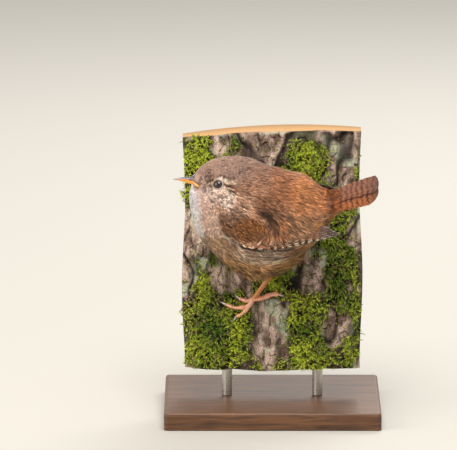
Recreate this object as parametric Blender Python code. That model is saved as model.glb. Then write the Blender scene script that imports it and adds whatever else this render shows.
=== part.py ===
# Wren, life size, clinging to a slab of tree trunk held on a plain stand.
# Sizes are in millimetres and degrees; meshes are written in metres.
# The bird faces -X, its left side faces -Y, and +Z is up.
# The origin is the centre of the underside of the stand's base.

import math
import random

import bmesh
import bpy
import numpy as np
from mathutils import Vector

MM = 0.001
GAP = 0.3
# Bodies that cut a neighbour are grown by a little more than the gap
CUT_GROWTH = 1.15 * GAP
# Points nearer than this are merged after a union, in metres
SLIVER = 0.00001
# A cut that leaves less than this share of the volume has failed
LEAST_LEFT = 0.1

# Stand
BASE_WIDTH = 100.0
BASE_DEPTH = 92.0
BASE_HEIGHT = 8.0
BASE_BEVEL = 1.5
ROD_RADIUS = 2.4
ROD_SPREAD = 21.0
ROD_Y = -4.0
ROD_LENGTH = 13.7

# Trunk slab
SLAB_HALF_WIDTH = 42.0
SLAB_BOTTOM = BASE_HEIGHT + ROD_LENGTH + 2.0 * GAP
SLAB_TOP = 129.0
SLAB_THICKNESS = 22.0
SLAB_SLOPE = 2.5
SLAB_WAVER = 0.035
TRUNK_RADIUS = 110.0
TRUNK_LEAN = 17.0
BARK_COLUMNS = 19
BARK_ROWS = 25
BARK_RELIEF = 2.1
# Waves that add up to the bark: share, along X and Z, phase, bend
BARK_WAVES = (
    (0.62, 0.19, 0.05, 0.3, 0.9),
    (0.22, 0.02, 0.16, 1.0, 0.6),
    (0.16, 0.60, 0.12, 0.7, 0.4),
    (0.15, 0.26, -0.54, 2.1, 0.3),
)
# The bark is calmer where the toes hold it
CALM_SHARE = 0.12
CALM_RADIUS = 12.0
FACE_Y = -8.0
FOOT_Z = 54.0

# Body: where its own origin stands, and how far it rolls towards the left
BODY_AT = (-4.0, -23.6, 93.2)
ROLL_HEAD = 12.0
ROLL_BODY = 6.0
ROLL_RUMP = 34.0

# One row for each cross section of the body, from the bill's root to the rump:
# upper point (along, up), lower point (along, up), half width, egg factor
BODY_SECTIONS = (
    (-31.9, 23.1, -32.8, 18.1, 1.9, 0.00),
    (-29.8, 26.2, -34.2, 14.5, 5.0, 0.05),
    (-24.8, 30.1, -34.4, 10.2, 7.4, 0.12),
    (-18.0, 32.4, -33.8, 6.2, 9.0, 0.20),
    (-10.8, 32.9, -33.0, 1.9, 11.2, 0.27),
    (-4.1, 31.7, -30.8, -4.9, 14.2, 0.28),
    (1.7, 28.8, -24.4, -13.5, 17.4, 0.22),
    (7.4, 26.9, -14.4, -22.6, 19.3, 0.12),
    (12.5, 24.9, -1.3, -26.9, 19.4, 0.04),
    (17.2, 23.6, 10.1, -21.7, 17.0, 0.00),
    (22.2, 22.2, 18.8, -14.7, 13.3, 0.00),
    (25.7, 19.3, 25.4, -6.9, 9.4, 0.00),
    (28.9, 16.6, 30.2, 3.1, 6.2, 0.00),
)
BODY_SIDES = 36
HEAD_ENDS = 4.15
NECK_ENDS = 5.35
HALF_CUT = 0.022
SIDES = (("left", 1.0), ("right", -1.0))

# Eye
EYE_AT = (-21.5, 22.3)
EYE_RADIUS = 2.7
EYE_DEPTH = 1.8
LID_RING = (2.35, 2.1)
LID_THICKNESS = 0.42
LID_STEPS = 12

# Bill: along, culmen, mouth line, underside, half width
BILL_SECTIONS = (
    (-28.6, 23.2, 20.0, 17.4, 2.4),
    (-31.2, 22.5, 20.3, 18.2, 2.05),
    (-33.6, 22.2, 20.5, 18.9, 1.6),
    (-36.4, 22.1, 20.9, 19.8, 1.12),
    (-39.2, 21.9, 21.2, 20.6, 0.68),
    (-41.6, 21.5, 21.2, 21.0, 0.22),
)
BILL_SIDES = 8
NOSTRIL_AT = (-33.1, 21.55, 1.45)
NOSTRIL_SIZE = (0.85, 0.26, 0.5)
GAPE = ((-35.5, 20.6), (-31.2, 20.3), (-29.4, 18.9))

# Wing sheet: half width of the folded wings along the body, and how it rounds
WING_PROFILE = (
    (-24.0, 14.0),
    (-17.0, 18.2),
    (-9.0, 20.6),
    (0.0, 21.2),
    (9.0, 20.0),
    (18.0, 15.8),
    (27.0, 12.2),
    (36.0, 10.0),
)
WING_CROWN = 27.6
WING_LEVEL = -1.0
WING_BEND_ALONG = -18.0
# The right wing is held a little higher towards its tip
WING_LIFTS = {"left": 0.0, "right": 0.17}
SHOULDER_ALONG = (-19.5, 5.0)
SHOULDER_UP = (14.5, -3.6)
SHOULDER_RISE = 1.5
SHOULDER_EDGE = -0.5
SHOULDER_DEPTH = 5.0
SHOULDER_CELLS = 8

# Vanes: thickness, raised shaft, and tilt of each vane over the next
VANE_THICKNESS = 0.52
TIP_THINNING = 0.35
SHAFT_RISE = 0.08
WING_TILT = 0.22
FEATHER_SEED = 7
# Share of the full width at places along a long and a short vane
LONG_VANE = ((0.0, 0.8), (0.45, 1.0), (0.83, 0.85), (1.0, 0.35))
SHORT_VANE = ((0.0, 0.8), (0.6, 1.0), (1.0, 0.4))

# Rows of wing feathers, each from its uppermost to its lowest feather:
# count, roots, bends and tips (along, up), half widths, height, vane
WING_ROWS = (
    (3, ((-1.0, 0.6), (-2.0, 0.0)), ((10.0, -1.2), (7.0, -1.6)),
     ((31.0, 1.6), (17.0, -1.5)), (2.2, 1.4), 0.0, LONG_VANE),
    (5, ((1.0, 6.5), (-1.0, 1.6)), ((14.0, 5.6), (12.0, -0.6)),
     ((28.5, 6.4), (34.4, 3.4)), (2.4, 2.2), 0.12, LONG_VANE),
    (5, ((2.0, 10.5), (1.0, 4.5)), ((12.0, 10.0), (12.0, 2.4)),
     ((23.5, 9.2), (27.5, 3.2)), (2.9, 2.5), 0.38, LONG_VANE),
    (3, ((2.0, 13.5), (1.0, 9.0)), ((10.0, 13.5), (12.0, 7.6)),
     ((18.0, 12.2), (25.0, 5.4)), (3.4, 3.0), 0.66, LONG_VANE),
    (6, ((-4.5, 13.5), (-8.0, 1.0)), ((2.0, 13.0), (0.0, -0.8)),
     ((9.5, 9.5), (8.5, -1.6)), (2.5, 1.8), 0.85, SHORT_VANE),
    (2, ((-10.0, 0.8), (-10.5, -0.6)), ((-5.0, -0.6), (-6.0, -1.8)),
     ((1.0, -0.6), (-1.5, -2.0)), (1.6, 1.3), 1.05, SHORT_VANE),
)

# Tail: root and axis in the body's own frame
TAIL_ROOT = (22.0, 7.6)
TAIL_RISE = 34.0
TAIL_LENGTH = 36.2
TAIL_ROOF = 0.1
TAIL_CURVE = 0.8
TAIL_ROLL_AT = 0.8
TAIL_TILT = 0.24
# Six pairs: along and offset of the middle pair's root, bend and tip, and how far
# each next pair's stand from it; half width, how much each pair is narrower,
# height, and the stagger of the top pair
TAIL_PAIRS = 6
TAIL_ROOTS = (2.0, 0.5, 0.42)
TAIL_BENDS = (14.0, 0.5, 0.94)
TAIL_TIPS = (TAIL_LENGTH, 0.75, 0.94)
TAIL_HALF_WIDTH = 2.25
TAIL_NARROWING = 0.08
TAIL_STAGGER = 0.12
TAIL_HEIGHT = 0.35
TAIL_VANE = ((0.0, 0.7), (0.5, 0.95), (0.9, 0.9), (1.0, 0.45))
# How much shorter each pair is than the longest, from the middle outwards
TAIL_STEPS = (0.0, 0.1, 0.3, 0.8, 1.7, 3.1)
# Core of the tail's root: along, half width, half thickness
TAIL_CORE = ((0.0, 5.0, 4.4), (6.0, 6.0, 3.6), (11.0, 6.3, 1.9), (17.0, 5.6, 0.7))
# Rows of tail coverts: count, length, spread of root and tip, half width, height
TAIL_COVERTS = (
    (5, 15.5, 3.4, 4.6, 2.0, 1.35),
    (3, 14.0, 2.8, 3.2, 2.2, -1.3),
)
COVERT_ROUNDING = 2.5
COVERT_SINK = 0.2

# Where the toes meet, as X and Z on the trunk's face
LEFT_FOOT = (-8.8, 54.0)
RIGHT_FOOT = (-6.0, 74.5)
# Label, place, mirroring across the face and turn on the face of each foot
FEET = (
    ("left", LEFT_FOOT, 1, 0.0),
    ("right", RIGHT_FOOT, -1, 4.0),
)
# Toe paths from that point, along X and up the face, then the claw's tip
TOES = (
    ("inner", ((0.0, 0.0), (-2.5, -0.9), (-5.2, -0.3), (-6.6, 0.2)), (-9.0, 1.9)),
    ("middle", ((0.0, 0.0), (-2.6, -3.2), (-7.9, -4.3), (-12.9, -2.8)), (-16.0, -1.4)),
    ("outer", ((0.0, 0.0), (-2.4, -3.9), (-5.2, -7.0), (-8.2, -8.1)), (-9.7, -10.6)),
    ("hind", ((0.0, 0.0), (4.2, 0.5), (8.6, 2.2), (12.0, 2.2)), (15.9, 0.9)),
)
TOE_RADIUS = 0.8
TOE_TAPER = 0.22
TOE_STEPS = 9
PAD_SIZE = (1.25, 1.0, 1.25)
CLAW_RADIUS = 0.5
CLAW_TIP = 0.13
CLAW_STEPS = 5
CLAW_ARCH = 0.9
CLAW_CLEAR = 0.45
# Raised edge of each scute, as a share of the radius
SCUTE = 0.07

# Legs in the body's own frame: ankle and knee of the left and the right one
ANKLES = ((3.4, -26.4, 2.2), (11.5, -19.8, -10.2))
KNEES = ((7.5, -17.0, 6.0), (8.5, -12.0, -9.0))
THIGH_RADII = (4.2, 2.8, 1.15)
TARSUS_RADIUS = 0.95
TARSUS_SCUTES = 7
JOINT_SWELL = 0.22

# Colours, linear
CROWN_BROWN = (0.30, 0.20, 0.14)
NECK_BROWN = (0.36, 0.24, 0.16)
BODY_BROWN = (0.33, 0.21, 0.12)
WING_BROWN = (0.28, 0.17, 0.10)
TAIL_RUFOUS = (0.30, 0.14, 0.07)
EYE_BLACK = (0.015, 0.009, 0.006)
BILL_GREY = (0.08, 0.07, 0.07)
BILL_YELLOW = (0.55, 0.27, 0.07)
LEG_PINK = (0.50, 0.29, 0.18)
TOE_PINK = (0.55, 0.30, 0.18)
CLAW_HORN = (0.35, 0.29, 0.26)
BARK_BROWN = (0.16, 0.12, 0.08)
BASE_BROWN = (0.05, 0.035, 0.025)
ROD_BRASS = (0.45, 0.42, 0.36)

# A direction no bar runs along, from which each bar's cross section is turned
TUBE_REFERENCE = (0.13, -0.9, 0.4)
WORLD_AXES = (Vector((1, 0, 0)), Vector((0, 1, 0)), Vector((0, 0, 1)))


def smooth(value):
    """Ease from 0 to 1 between 0 and 1."""
    t = min(max(value, 0.0), 1.0)
    return t * t * (3.0 - 2.0 * t)


def roll_at(along):
    """Roll of the body about its own length, in radians."""
    near = ROLL_BODY * smooth((along + 25.0) / 30.0)
    rear = ROLL_RUMP * smooth((along - 10.0) / 45.0)
    return math.radians(ROLL_HEAD + near + rear)


def body_to_world(along, up, left):
    """A point of the bird's own frame, rolled and set in place."""
    roll = roll_at(along)
    x = BODY_AT[0] + along
    y = BODY_AT[1] - up * math.sin(roll) - left * math.cos(roll)
    z = BODY_AT[2] + up * math.cos(roll) - left * math.sin(roll)
    return Vector((x, y, z))


def spline(rows, at):
    """Catmull-Rom value of a table of rows at a fractional row number."""
    table = np.asarray(rows, float)
    last = len(table) - 1
    i = min(max(int(at), 0), last - 1)
    f = at - i
    p1 = table[i]
    p2 = table[i + 1]
    p0 = table[i - 1] if i > 0 else 2.0 * p1 - p2
    p3 = table[i + 2] if i + 2 <= last else 2.0 * p2 - p1
    a = 2.0 * p1
    b = p2 - p0
    c = 2.0 * p0 - 5.0 * p1 + 4.0 * p2 - p3
    d = 3.0 * p1 - p0 - 3.0 * p2 + p3
    return 0.5 * (a + b * f + c * f * f + d * f ** 3)


def section_point(at, angle):
    """Along, up and left of the body's surface at a section and an angle."""
    ux, uz, lx, lz, half, egg = spline(BODY_SECTIONS, at)
    t = math.cos(angle)
    along = (ux + lx) / 2.0 + (ux - lx) / 2.0 * t
    up = (uz + lz) / 2.0 + (uz - lz) / 2.0 * t
    left = half * math.sin(angle) * (1.0 - egg * t)
    return along, up, left


def section_of(along, up):
    """Section number and height ratio of a point in the body's mid plane."""
    def side(at):
        ux, uz, lx, lz = spline(BODY_SECTIONS, at)[:4]
        cx, cz = (ux + lx) / 2.0, (uz + lz) / 2.0
        return (along - cx) * (uz - lz) - (up - cz) * (ux - lx)
    low, high = 0.0, len(BODY_SECTIONS) - 1.0
    for _ in range(40):
        middle = (low + high) / 2.0
        if side(middle) > 0.0:
            low = middle
        else:
            high = middle
    ux, uz, lx, lz = spline(BODY_SECTIONS, low)[:4]
    cx, cz = (ux + lx) / 2.0, (uz + lz) / 2.0
    hx, hz = (ux - lx) / 2.0, (uz - lz) / 2.0
    ratio = ((along - cx) * hx + (up - cz) * hz) / (hx * hx + hz * hz)
    return low, min(max(ratio, -1.0), 1.0)


def body_surface(along, up, side):
    """World point and outward normal on one flank, side +1 left or -1 right."""
    at, ratio = section_of(along, up)
    angle = side * math.acos(ratio)

    def point(a, b):
        return body_to_world(*section_point(a, b))
    step = 0.02
    here = point(at, angle)
    one = point(at + step, angle) - point(at - step, angle)
    two = point(at, angle + step) - point(at, angle - step)
    normal = one.cross(two).normalized()
    centre = body_to_world(along, up, 0.0)
    if normal.dot(here - centre) < 0.0:
        normal = -normal
    return here, normal


def material(name, colour, roughness, metallic=0.0):
    """Principled material of one node."""
    made = bpy.data.materials.new(name)
    made.use_nodes = True
    shader = made.node_tree.nodes["Principled BSDF"]
    shader.inputs["Base Color"].default_value = (*colour, 1.0)
    shader.inputs["Roughness"].default_value = roughness
    shader.inputs["Metallic"].default_value = metallic
    return made


def mesh_object(name, points, faces):
    """Object from points in millimetres."""
    mesh = bpy.data.meshes.new(name)
    mesh.from_pydata([tuple(MM * c for c in p) for p in points], [], faces)
    obj = bpy.data.objects.new(name, mesh)
    bpy.context.scene.collection.objects.link(obj)
    return obj


def face_out(obj):
    """Turn all faces of a closed mesh outwards."""
    work = bmesh.new()
    work.from_mesh(obj.data)
    bmesh.ops.recalc_face_normals(work, faces=work.faces)
    work.to_mesh(obj.data)
    work.free()
    return obj


def loft(name, rings):
    """Closed body through rings of equal count, each end closed by a fan."""
    count = len(rings[0])
    points = [p for ring in rings for p in ring]
    faces = []
    for i in range(len(rings) - 1):
        for j in range(count):
            k = (j + 1) % count
            a, b = i * count + j, i * count + k
            c, d = a + count, b + count
            faces += [(a, b, d), (a, d, c)]
    for ring, base in ((rings[0], 0), (rings[-1], (len(rings) - 1) * count)):
        middle = sum((Vector(p) for p in ring), Vector()) / count
        points.append(middle)
        hub = len(points) - 1
        for j in range(count):
            k = (j + 1) % count
            faces.append((base + j, base + k, hub) if base else (base + k, base + j, hub))
    return face_out(mesh_object(name, points, faces))


def tube(name, path, radii, sides, flat=1.0):
    """Round bar through a path with a radius at each point."""
    rings = []
    path = [Vector(p) for p in path]
    reference = Vector(TUBE_REFERENCE)
    for i, point in enumerate(path):
        before = path[max(i - 1, 0)]
        after = path[min(i + 1, len(path) - 1)]
        along = (after - before).normalized()
        across = along.cross(reference).normalized()
        out = across.cross(along).normalized()
        ring = []
        for j in range(sides):
            angle = 2.0 * math.pi * j / sides
            shift = across * math.cos(angle) + out * (math.sin(angle) * flat)
            ring.append(point + shift * radii[i])
        rings.append(ring)
    return loft(name, rings)


def ellipsoid(name, centre, axes, sizes, turns=16, rows=9):
    """Closed ball with its own three axes and half sizes."""
    centre = Vector(centre)
    points = [centre + axes[2] * sizes[2]]
    for i in range(1, rows):
        polar = math.pi * i / rows
        for j in range(turns):
            angle = 2.0 * math.pi * j / turns
            a = axes[0] * (sizes[0] * math.sin(polar) * math.cos(angle))
            b = axes[1] * (sizes[1] * math.sin(polar) * math.sin(angle))
            points.append(centre + a + b + axes[2] * (sizes[2] * math.cos(polar)))
    points.append(centre - axes[2] * sizes[2])
    last = len(points) - 1
    faces = []
    for j in range(turns):
        k = (j + 1) % turns
        faces.append((0, 1 + j, 1 + k))
        base = 1 + (rows - 2) * turns
        faces.append((last, base + k, base + j))
        for i in range(rows - 2):
            a, b = 1 + i * turns + j, 1 + i * turns + k
            faces += [(a, a + turns, b + turns), (a, b + turns, b)]
    return face_out(mesh_object(name, points, faces))


def frame_about(normal, forward):
    """Three unit axes: forward laid on the plane, across, and the normal."""
    n = Vector(normal).normalized()
    f = Vector(forward)
    f = (f - n * f.dot(n)).normalized()
    return f, n.cross(f), n


def apply_modifiers(obj):
    """Replace an object's mesh by its evaluated one."""
    bpy.context.view_layer.update()
    graph = bpy.context.evaluated_depsgraph_get()
    mesh = bpy.data.meshes.new_from_object(obj.evaluated_get(graph))
    obj.modifiers.clear()
    obj.data = mesh
    return obj


def drop(objects):
    """Remove helper objects."""
    for item in objects:
        bpy.data.objects.remove(item, do_unlink=True)


def closed_volume(mesh):
    """Volume of a mesh, or 0 where an edge doesn't join two faces."""
    work = bmesh.new()
    work.from_mesh(mesh)
    closed = all(len(e.link_faces) == 2 for e in work.edges)
    volume = work.calc_volume() if closed else 0.0
    work.free()
    return volume


def combine(obj, operation, target):
    """Boolean with an object or a collection, by MANIFOLD where EXACT fails."""
    before = obj.data.copy()
    least = LEAST_LEFT * closed_volume(before)
    for solver in ("EXACT", "MANIFOLD"):
        obj.data = before.copy()
        step = obj.modifiers.new("combine", "BOOLEAN")
        step.operation = operation
        step.solver = solver
        if isinstance(target, bpy.types.Collection):
            step.operand_type = "COLLECTION"
            step.collection = target
        else:
            step.object = target
        apply_modifiers(obj)
        if closed_volume(obj.data) > least:
            break
    return obj


def join(obj, pieces):
    """Boolean union of closed pieces into one object."""
    group = bpy.data.collections.new(obj.name + "_pieces")
    for piece in pieces:
        group.objects.link(piece)
    combine(obj, "UNION", group)
    drop(pieces)
    bpy.data.collections.remove(group)
    return obj


def cut(obj, cutters):
    """Boolean difference by each cutter in turn, which is then removed."""
    for cutter in cutters:
        combine(obj, "DIFFERENCE", cutter)
    drop(cutters)
    return obj


def keep_largest(obj):
    """Keep the closed surface with the most volume."""
    work = bmesh.new()
    work.from_mesh(obj.data)
    bmesh.ops.remove_doubles(work, verts=work.verts, dist=SLIVER)
    bmesh.ops.triangulate(work, faces=work.faces)
    if any(len(e.link_faces) != 2 for e in work.edges):
        work.clear()
        work.from_mesh(obj.data)
        bmesh.ops.triangulate(work, faces=work.faces)
    left = set(work.faces)
    shells = []
    while left:
        seed = left.pop()
        shell = [seed]
        stack = [seed]
        while stack:
            for edge in stack.pop().edges:
                for face in edge.link_faces:
                    if face in left:
                        left.remove(face)
                        shell.append(face)
                        stack.append(face)
        size = 0.0
        for face in shell:
            a, b, c = (v.co for v in face.verts)
            size += a.dot(b.cross(c)) / 6.0
        shells.append((size, shell))
    shells.sort(key=lambda item: -item[0])
    for _, shell in shells[1:]:
        bmesh.ops.delete(work, geom=shell, context="FACES")
    work.to_mesh(obj.data)
    work.free()
    return obj


def finish(obj, colour, roughness, metallic=0.0, crease=35.0):
    """Give a node its material and smooth shading."""
    obj.data.materials.clear()
    obj.data.materials.append(material(obj.name + "_finish", colour, roughness, metallic))
    obj.data.shade_smooth()
    obj.data.set_sharp_from_angle(angle=math.radians(crease))
    return obj


def body_loft(name, first, last, steps, grow=0.0):
    """Part of the body between two sections, grown outwards by a margin."""
    rings = []
    for i in range(steps + 1):
        at = first + (last - first) * i / steps
        ring = []
        for j in range(BODY_SIDES):
            angle = 2.0 * math.pi * j / BODY_SIDES
            along, up, left = section_point(at, angle)
            ux, uz, lx, lz, half, egg = spline(BODY_SECTIONS, at)
            height = math.hypot(ux - lx, uz - lz) / 2.0
            t = math.cos(angle) * grow / height
            along += (ux - lx) / 2.0 * t
            up += (uz - lz) / 2.0 * t
            left += math.sin(angle) * grow
            ring.append(body_to_world(along, up, left))
        rings.append(ring)
    if grow:
        for ring, other in ((rings[0], rings[1]), (rings[-1], rings[-2])):
            middle = sum(ring, Vector()) / BODY_SIDES
            inner = sum(other, Vector()) / BODY_SIDES
            shift = (middle - inner).normalized() * grow
            ring[:] = [p + shift for p in ring]
    return loft(name, rings)


def grown_body():
    """The whole body grown by the gap, which cuts what grows from it."""
    return body_loft("grown_body", 0.0, len(BODY_SECTIONS) - 1.0, BODY_SIDES, CUT_GROWTH)


def build_head():
    """Skull with raised lids, eye sockets and the slot of the mouth."""
    head = body_loft("head", 0.0, HEAD_ENDS - HALF_CUT, 13)
    lids = []
    sockets = []
    for _, side in SIDES:
        at, normal = body_surface(*EYE_AT, side)
        f, a, n = frame_about(normal, (-1.0, 0.0, 0.0))
        rings = []
        for i in range(LID_STEPS):
            turn = 2.0 * math.pi * i / LID_STEPS
            out = f * math.cos(turn) + a * math.sin(turn)
            middle = at + f * (LID_RING[0] * math.cos(turn)) + a * (LID_RING[1] * math.sin(turn))
            ring = []
            for j in range(6):
                angle = 2.0 * math.pi * j / 6
                ring.append(middle + (out * math.cos(angle) + n * math.sin(angle)) * LID_THICKNESS)
            rings.append(ring)
        lids.append(ring_body("lid", rings))
        centre = at - normal * EYE_DEPTH
        size = EYE_RADIUS + GAP
        sockets.append(ellipsoid("socket", centre, (f, a, n), (size, size, size), 15, 9))
    join(head, lids)
    cut(head, sockets + [mouth_blade()])
    return finish(keep_largest(head), CROWN_BROWN, 0.85)


def ring_body(name, rings):
    """Closed ring through sections that meet again."""
    count = len(rings[0])
    points = [p for ring in rings for p in ring]
    faces = []
    for i in range(len(rings)):
        n = (i + 1) % len(rings)
        for j in range(count):
            k = (j + 1) % count
            a, b = i * count + j, i * count + k
            c, d = n * count + j, n * count + k
            faces += [(a, b, d), (a, d, c)]
    return face_out(mesh_object(name, points, faces))


def mouth_blade():
    """Thin blade that cuts the mouth line as far as the gape."""
    half = GAP / 2.0
    rings = []
    for along, up in GAPE:
        ring = []
        for left, rise in ((-7.0, -half), (7.0, -half), (7.0, half), (-7.0, half)):
            ring.append(body_to_world(along, up + rise, left))
        rings.append(ring)
    return loft("mouth_blade", rings)


def build_body():
    """Neck and torso, parted from the head by thin cuts."""
    last = len(BODY_SECTIONS) - 1.0
    neck = body_loft("neck", HEAD_ENDS + HALF_CUT, NECK_ENDS - HALF_CUT, 4)
    finish(neck, NECK_BROWN, 0.85)
    torso = body_loft("torso", NECK_ENDS + HALF_CUT, last, 16)
    finish(torso, BODY_BROWN, 0.85)


def build_eyes():
    """Eyeballs in their sockets."""
    for label, side in SIDES:
        at, normal = body_surface(*EYE_AT, side)
        axes = frame_about(normal, (-1.0, 0.0, 0.0))
        size = (EYE_RADIUS, EYE_RADIUS, EYE_RADIUS)
        eye = ellipsoid("eye_" + label, at - normal * EYE_DEPTH, axes, size, 14, 9)
        finish(eye, EYE_BLACK, 0.05)


def build_bill():
    """Both halves of the bill, parted along the mouth line."""
    for name, sign in (("bill_upper", 1), ("bill_lower", -1)):
        rings = []
        for along, top, middle, under, half in BILL_SECTIONS:
            edge = middle + sign * GAP / 2.0
            outer = max(top - edge, 0.12) if sign > 0 else max(edge - under, 0.12)
            ring = []
            for j in range(BILL_SIDES + 1):
                angle = math.pi * j / BILL_SIDES
                up = edge + sign * outer * math.sin(angle) ** 0.9
                ring.append(body_to_world(along, up, half * math.cos(angle)))
            rings.append(ring)
        bill = loft(name, rings)
        cutters = [grown_body()]
        if sign > 0:
            cutters += nostrils()
        cut(bill, cutters)
        colour = BILL_GREY if sign > 0 else BILL_YELLOW
        finish(keep_largest(bill), colour, 0.35)


def nostrils():
    """Two narrow pits near the root of the upper bill."""
    pits = []
    for _, side in SIDES:
        at = body_to_world(NOSTRIL_AT[0], NOSTRIL_AT[1], side * NOSTRIL_AT[2])
        roll = roll_at(NOSTRIL_AT[0])
        along = Vector((1.0, 0.0, -0.06)).normalized()
        left = Vector((0.0, -math.cos(roll), -math.sin(roll)))
        axes = (along, left.cross(along), left)
        pits.append(ellipsoid("nostril", at, axes, NOSTRIL_SIZE, 10, 6))
    return pits


def wing_half(along, up):
    """Distance of the folded wing's sheet from the body's mid plane."""
    knots = [row[0] for row in WING_PROFILE]
    place = float(np.interp(along, knots, range(len(knots))))
    half = spline([[row[1]] for row in WING_PROFILE], place)[0]
    rise = min(abs(up - WING_LEVEL) / WING_CROWN, 0.93)
    return half * math.sqrt(1.0 - rise * rise)


def wing_surface(side, lift):
    """Surface of one folded wing: along, up and height give a world point."""
    def sheet(along, up):
        up = up + lift * (along - WING_BEND_ALONG)
        return body_to_world(along, up, side * wing_half(along, up))

    def surface(along, up, height):
        step = 0.1
        here = sheet(along, up)
        one = sheet(along + step, up) - here
        two = sheet(along, up + step) - here
        normal = one.cross(two).normalized()
        return here + normal * (side * height)
    return surface


def plate(name, upper, lower):
    """Closed plate between two grids of points, split alike on both faces."""
    rows, columns = len(upper), len(upper[0])
    points = [p for row in upper for p in row] + [p for row in lower for p in row]
    shift = rows * columns
    faces = []
    for i in range(rows - 1):
        for j in range(columns - 1):
            a = i * columns + j
            b, c, d = a + 1, a + columns, a + columns + 1
            faces += [(a, b, d), (a, d, c)]
            faces += [(a + shift, d + shift, b + shift), (a + shift, c + shift, d + shift)]
    rim = list(range(columns))
    rim += [i * columns + columns - 1 for i in range(1, rows)]
    rim += [(rows - 1) * columns + j for j in range(columns - 2, -1, -1)]
    rim += [i * columns for i in range(rows - 2, 0, -1)]
    for k, a in enumerate(rim):
        b = rim[(k + 1) % len(rim)]
        faces += [(b, a, a + shift), (b, a + shift, b + shift)]
    return face_out(mesh_object(name, points, faces))


def vane(surface, root, bend, tip, half, height, tilt, stations):
    """Feather on a surface: a tapered plate along a curve, one edge tilted up.

    root, bend and tip are the curve's three guide points in the surface's own
    two directions; stations pair a place along it with a share of the width.
    """
    grids = ([], [])
    for t, share in stations:
        a = [root[i] * (1 - t) ** 2 + bend[i] * 2 * t * (1 - t) + tip[i] * t * t for i in (0, 1)]
        d = [(bend[i] - root[i]) * (1 - t) + (tip[i] - bend[i]) * t for i in (0, 1)]
        size = math.hypot(*d)
        across = (d[1] / size, -d[0] / size)
        thick = VANE_THICKNESS * (1.0 - TIP_THINNING * t * t)
        rows = ([], [])
        for q in (-1.0, 0.0, 1.0):
            out = q * half * share
            place = (a[0] + across[0] * out, a[1] + across[1] * out)
            middle = height + tilt * out + (SHAFT_RISE if q == 0.0 else 0.0)
            rows[0].append(surface(*place, middle + thick / 2.0))
            rows[1].append(surface(*place, middle - thick / 2.0))
        grids[0].append(rows[0])
        grids[1].append(rows[1])
    return plate("vane", *grids)


def mix(first, last, share):
    """Point between two points."""
    return tuple(a + (b - a) * share for a, b in zip(first, last))


def feather_row(surface, row, draw):
    """Row of wing feathers whose guide points run from the first to the last."""
    count, roots, bends, tips, halves, height, stations = row
    feathers = []
    for i in range(count):
        share = i / (count - 1.0)
        root, bend, tip = (mix(*pair, share) for pair in (roots, bends, tips))
        tip = (tip[0] + draw.uniform(-0.3, 0.3), tip[1] + draw.uniform(-0.15, 0.15))
        half = halves[0] + (halves[1] - halves[0]) * share
        level = height + draw.uniform(-0.03, 0.03)
        feathers.append(vane(surface, root, bend, tip, half, level, WING_TILT, stations))
    return feathers


def shoulder(name, surface):
    """Rounded mass of the wing's bend and small coverts, sunk in the flank."""
    grids = ([], [])
    (front, rear), (top, bottom) = SHOULDER_ALONG, SHOULDER_UP
    for i in range(SHOULDER_CELLS + 1):
        a = 2.0 * i / SHOULDER_CELLS - 1.0
        rows = ([], [])
        for j in range(SHOULDER_CELLS + 1):
            b = 2.0 * j / SHOULDER_CELLS - 1.0
            u = a * math.sqrt(1.0 - b * b / 2.0)
            v = b * math.sqrt(1.0 - a * a / 2.0)
            along = (front + rear) / 2.0 + (rear - front) / 2.0 * u
            up = (top + bottom) / 2.0 + (top - bottom) / 2.0 * v
            crown = SHOULDER_RISE * math.sqrt(max(1.0 - u * u - v * v, 0.0))
            rows[0].append(surface(along, up, crown + SHOULDER_EDGE))
            rows[1].append(surface(along, up, -SHOULDER_DEPTH))
        grids[0].append(rows[0])
        grids[1].append(rows[1])
    return plate(name, *grids)


def build_wings():
    """Folded wings: flight feathers and coverts shingled in tiers."""
    for label, side in SIDES:
        draw = random.Random(FEATHER_SEED)
        surface = wing_surface(side, WING_LIFTS[label])
        wing = shoulder("wing_" + label, surface)
        feathers = []
        for row in WING_ROWS:
            feathers += feather_row(surface, row, draw)
        join(wing, feathers)
        cut(wing, [grown_body()])
        finish(keep_largest(wing), WING_BROWN, 0.8)


def tail_surface():
    """Surface of the tail: distance along, to the left, and height."""
    rise = math.radians(TAIL_RISE)
    roll = roll_at(TAIL_ROOT[0] + TAIL_LENGTH * TAIL_ROLL_AT)
    up = Vector((0.0, -math.sin(roll), math.cos(roll)))
    left = Vector((0.0, -math.cos(roll), -math.sin(roll)))
    axis = Vector((1.0, 0.0, 0.0)) * math.cos(rise) + up * math.sin(rise)
    upper = up * math.cos(rise) - Vector((1.0, 0.0, 0.0)) * math.sin(rise)
    root = body_to_world(TAIL_ROOT[0], TAIL_ROOT[1], 0.0)

    def surface(along, to_left, height):
        sag = TAIL_ROOF * abs(to_left) + TAIL_CURVE * (along / TAIL_LENGTH) ** 2
        return root + axis * along + left * to_left + upper * (height - sag)
    return surface


def tail_core(name, surface):
    """Root of the tail, a cone that flattens towards the vanes."""
    rings = []
    for t, half, thick in TAIL_CORE:
        ring = []
        for j in range(14):
            angle = 2.0 * math.pi * j / 14
            ring.append(surface(t, half * math.cos(angle), thick * math.sin(angle)))
        rings.append(ring)
    return loft(name, rings)


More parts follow.
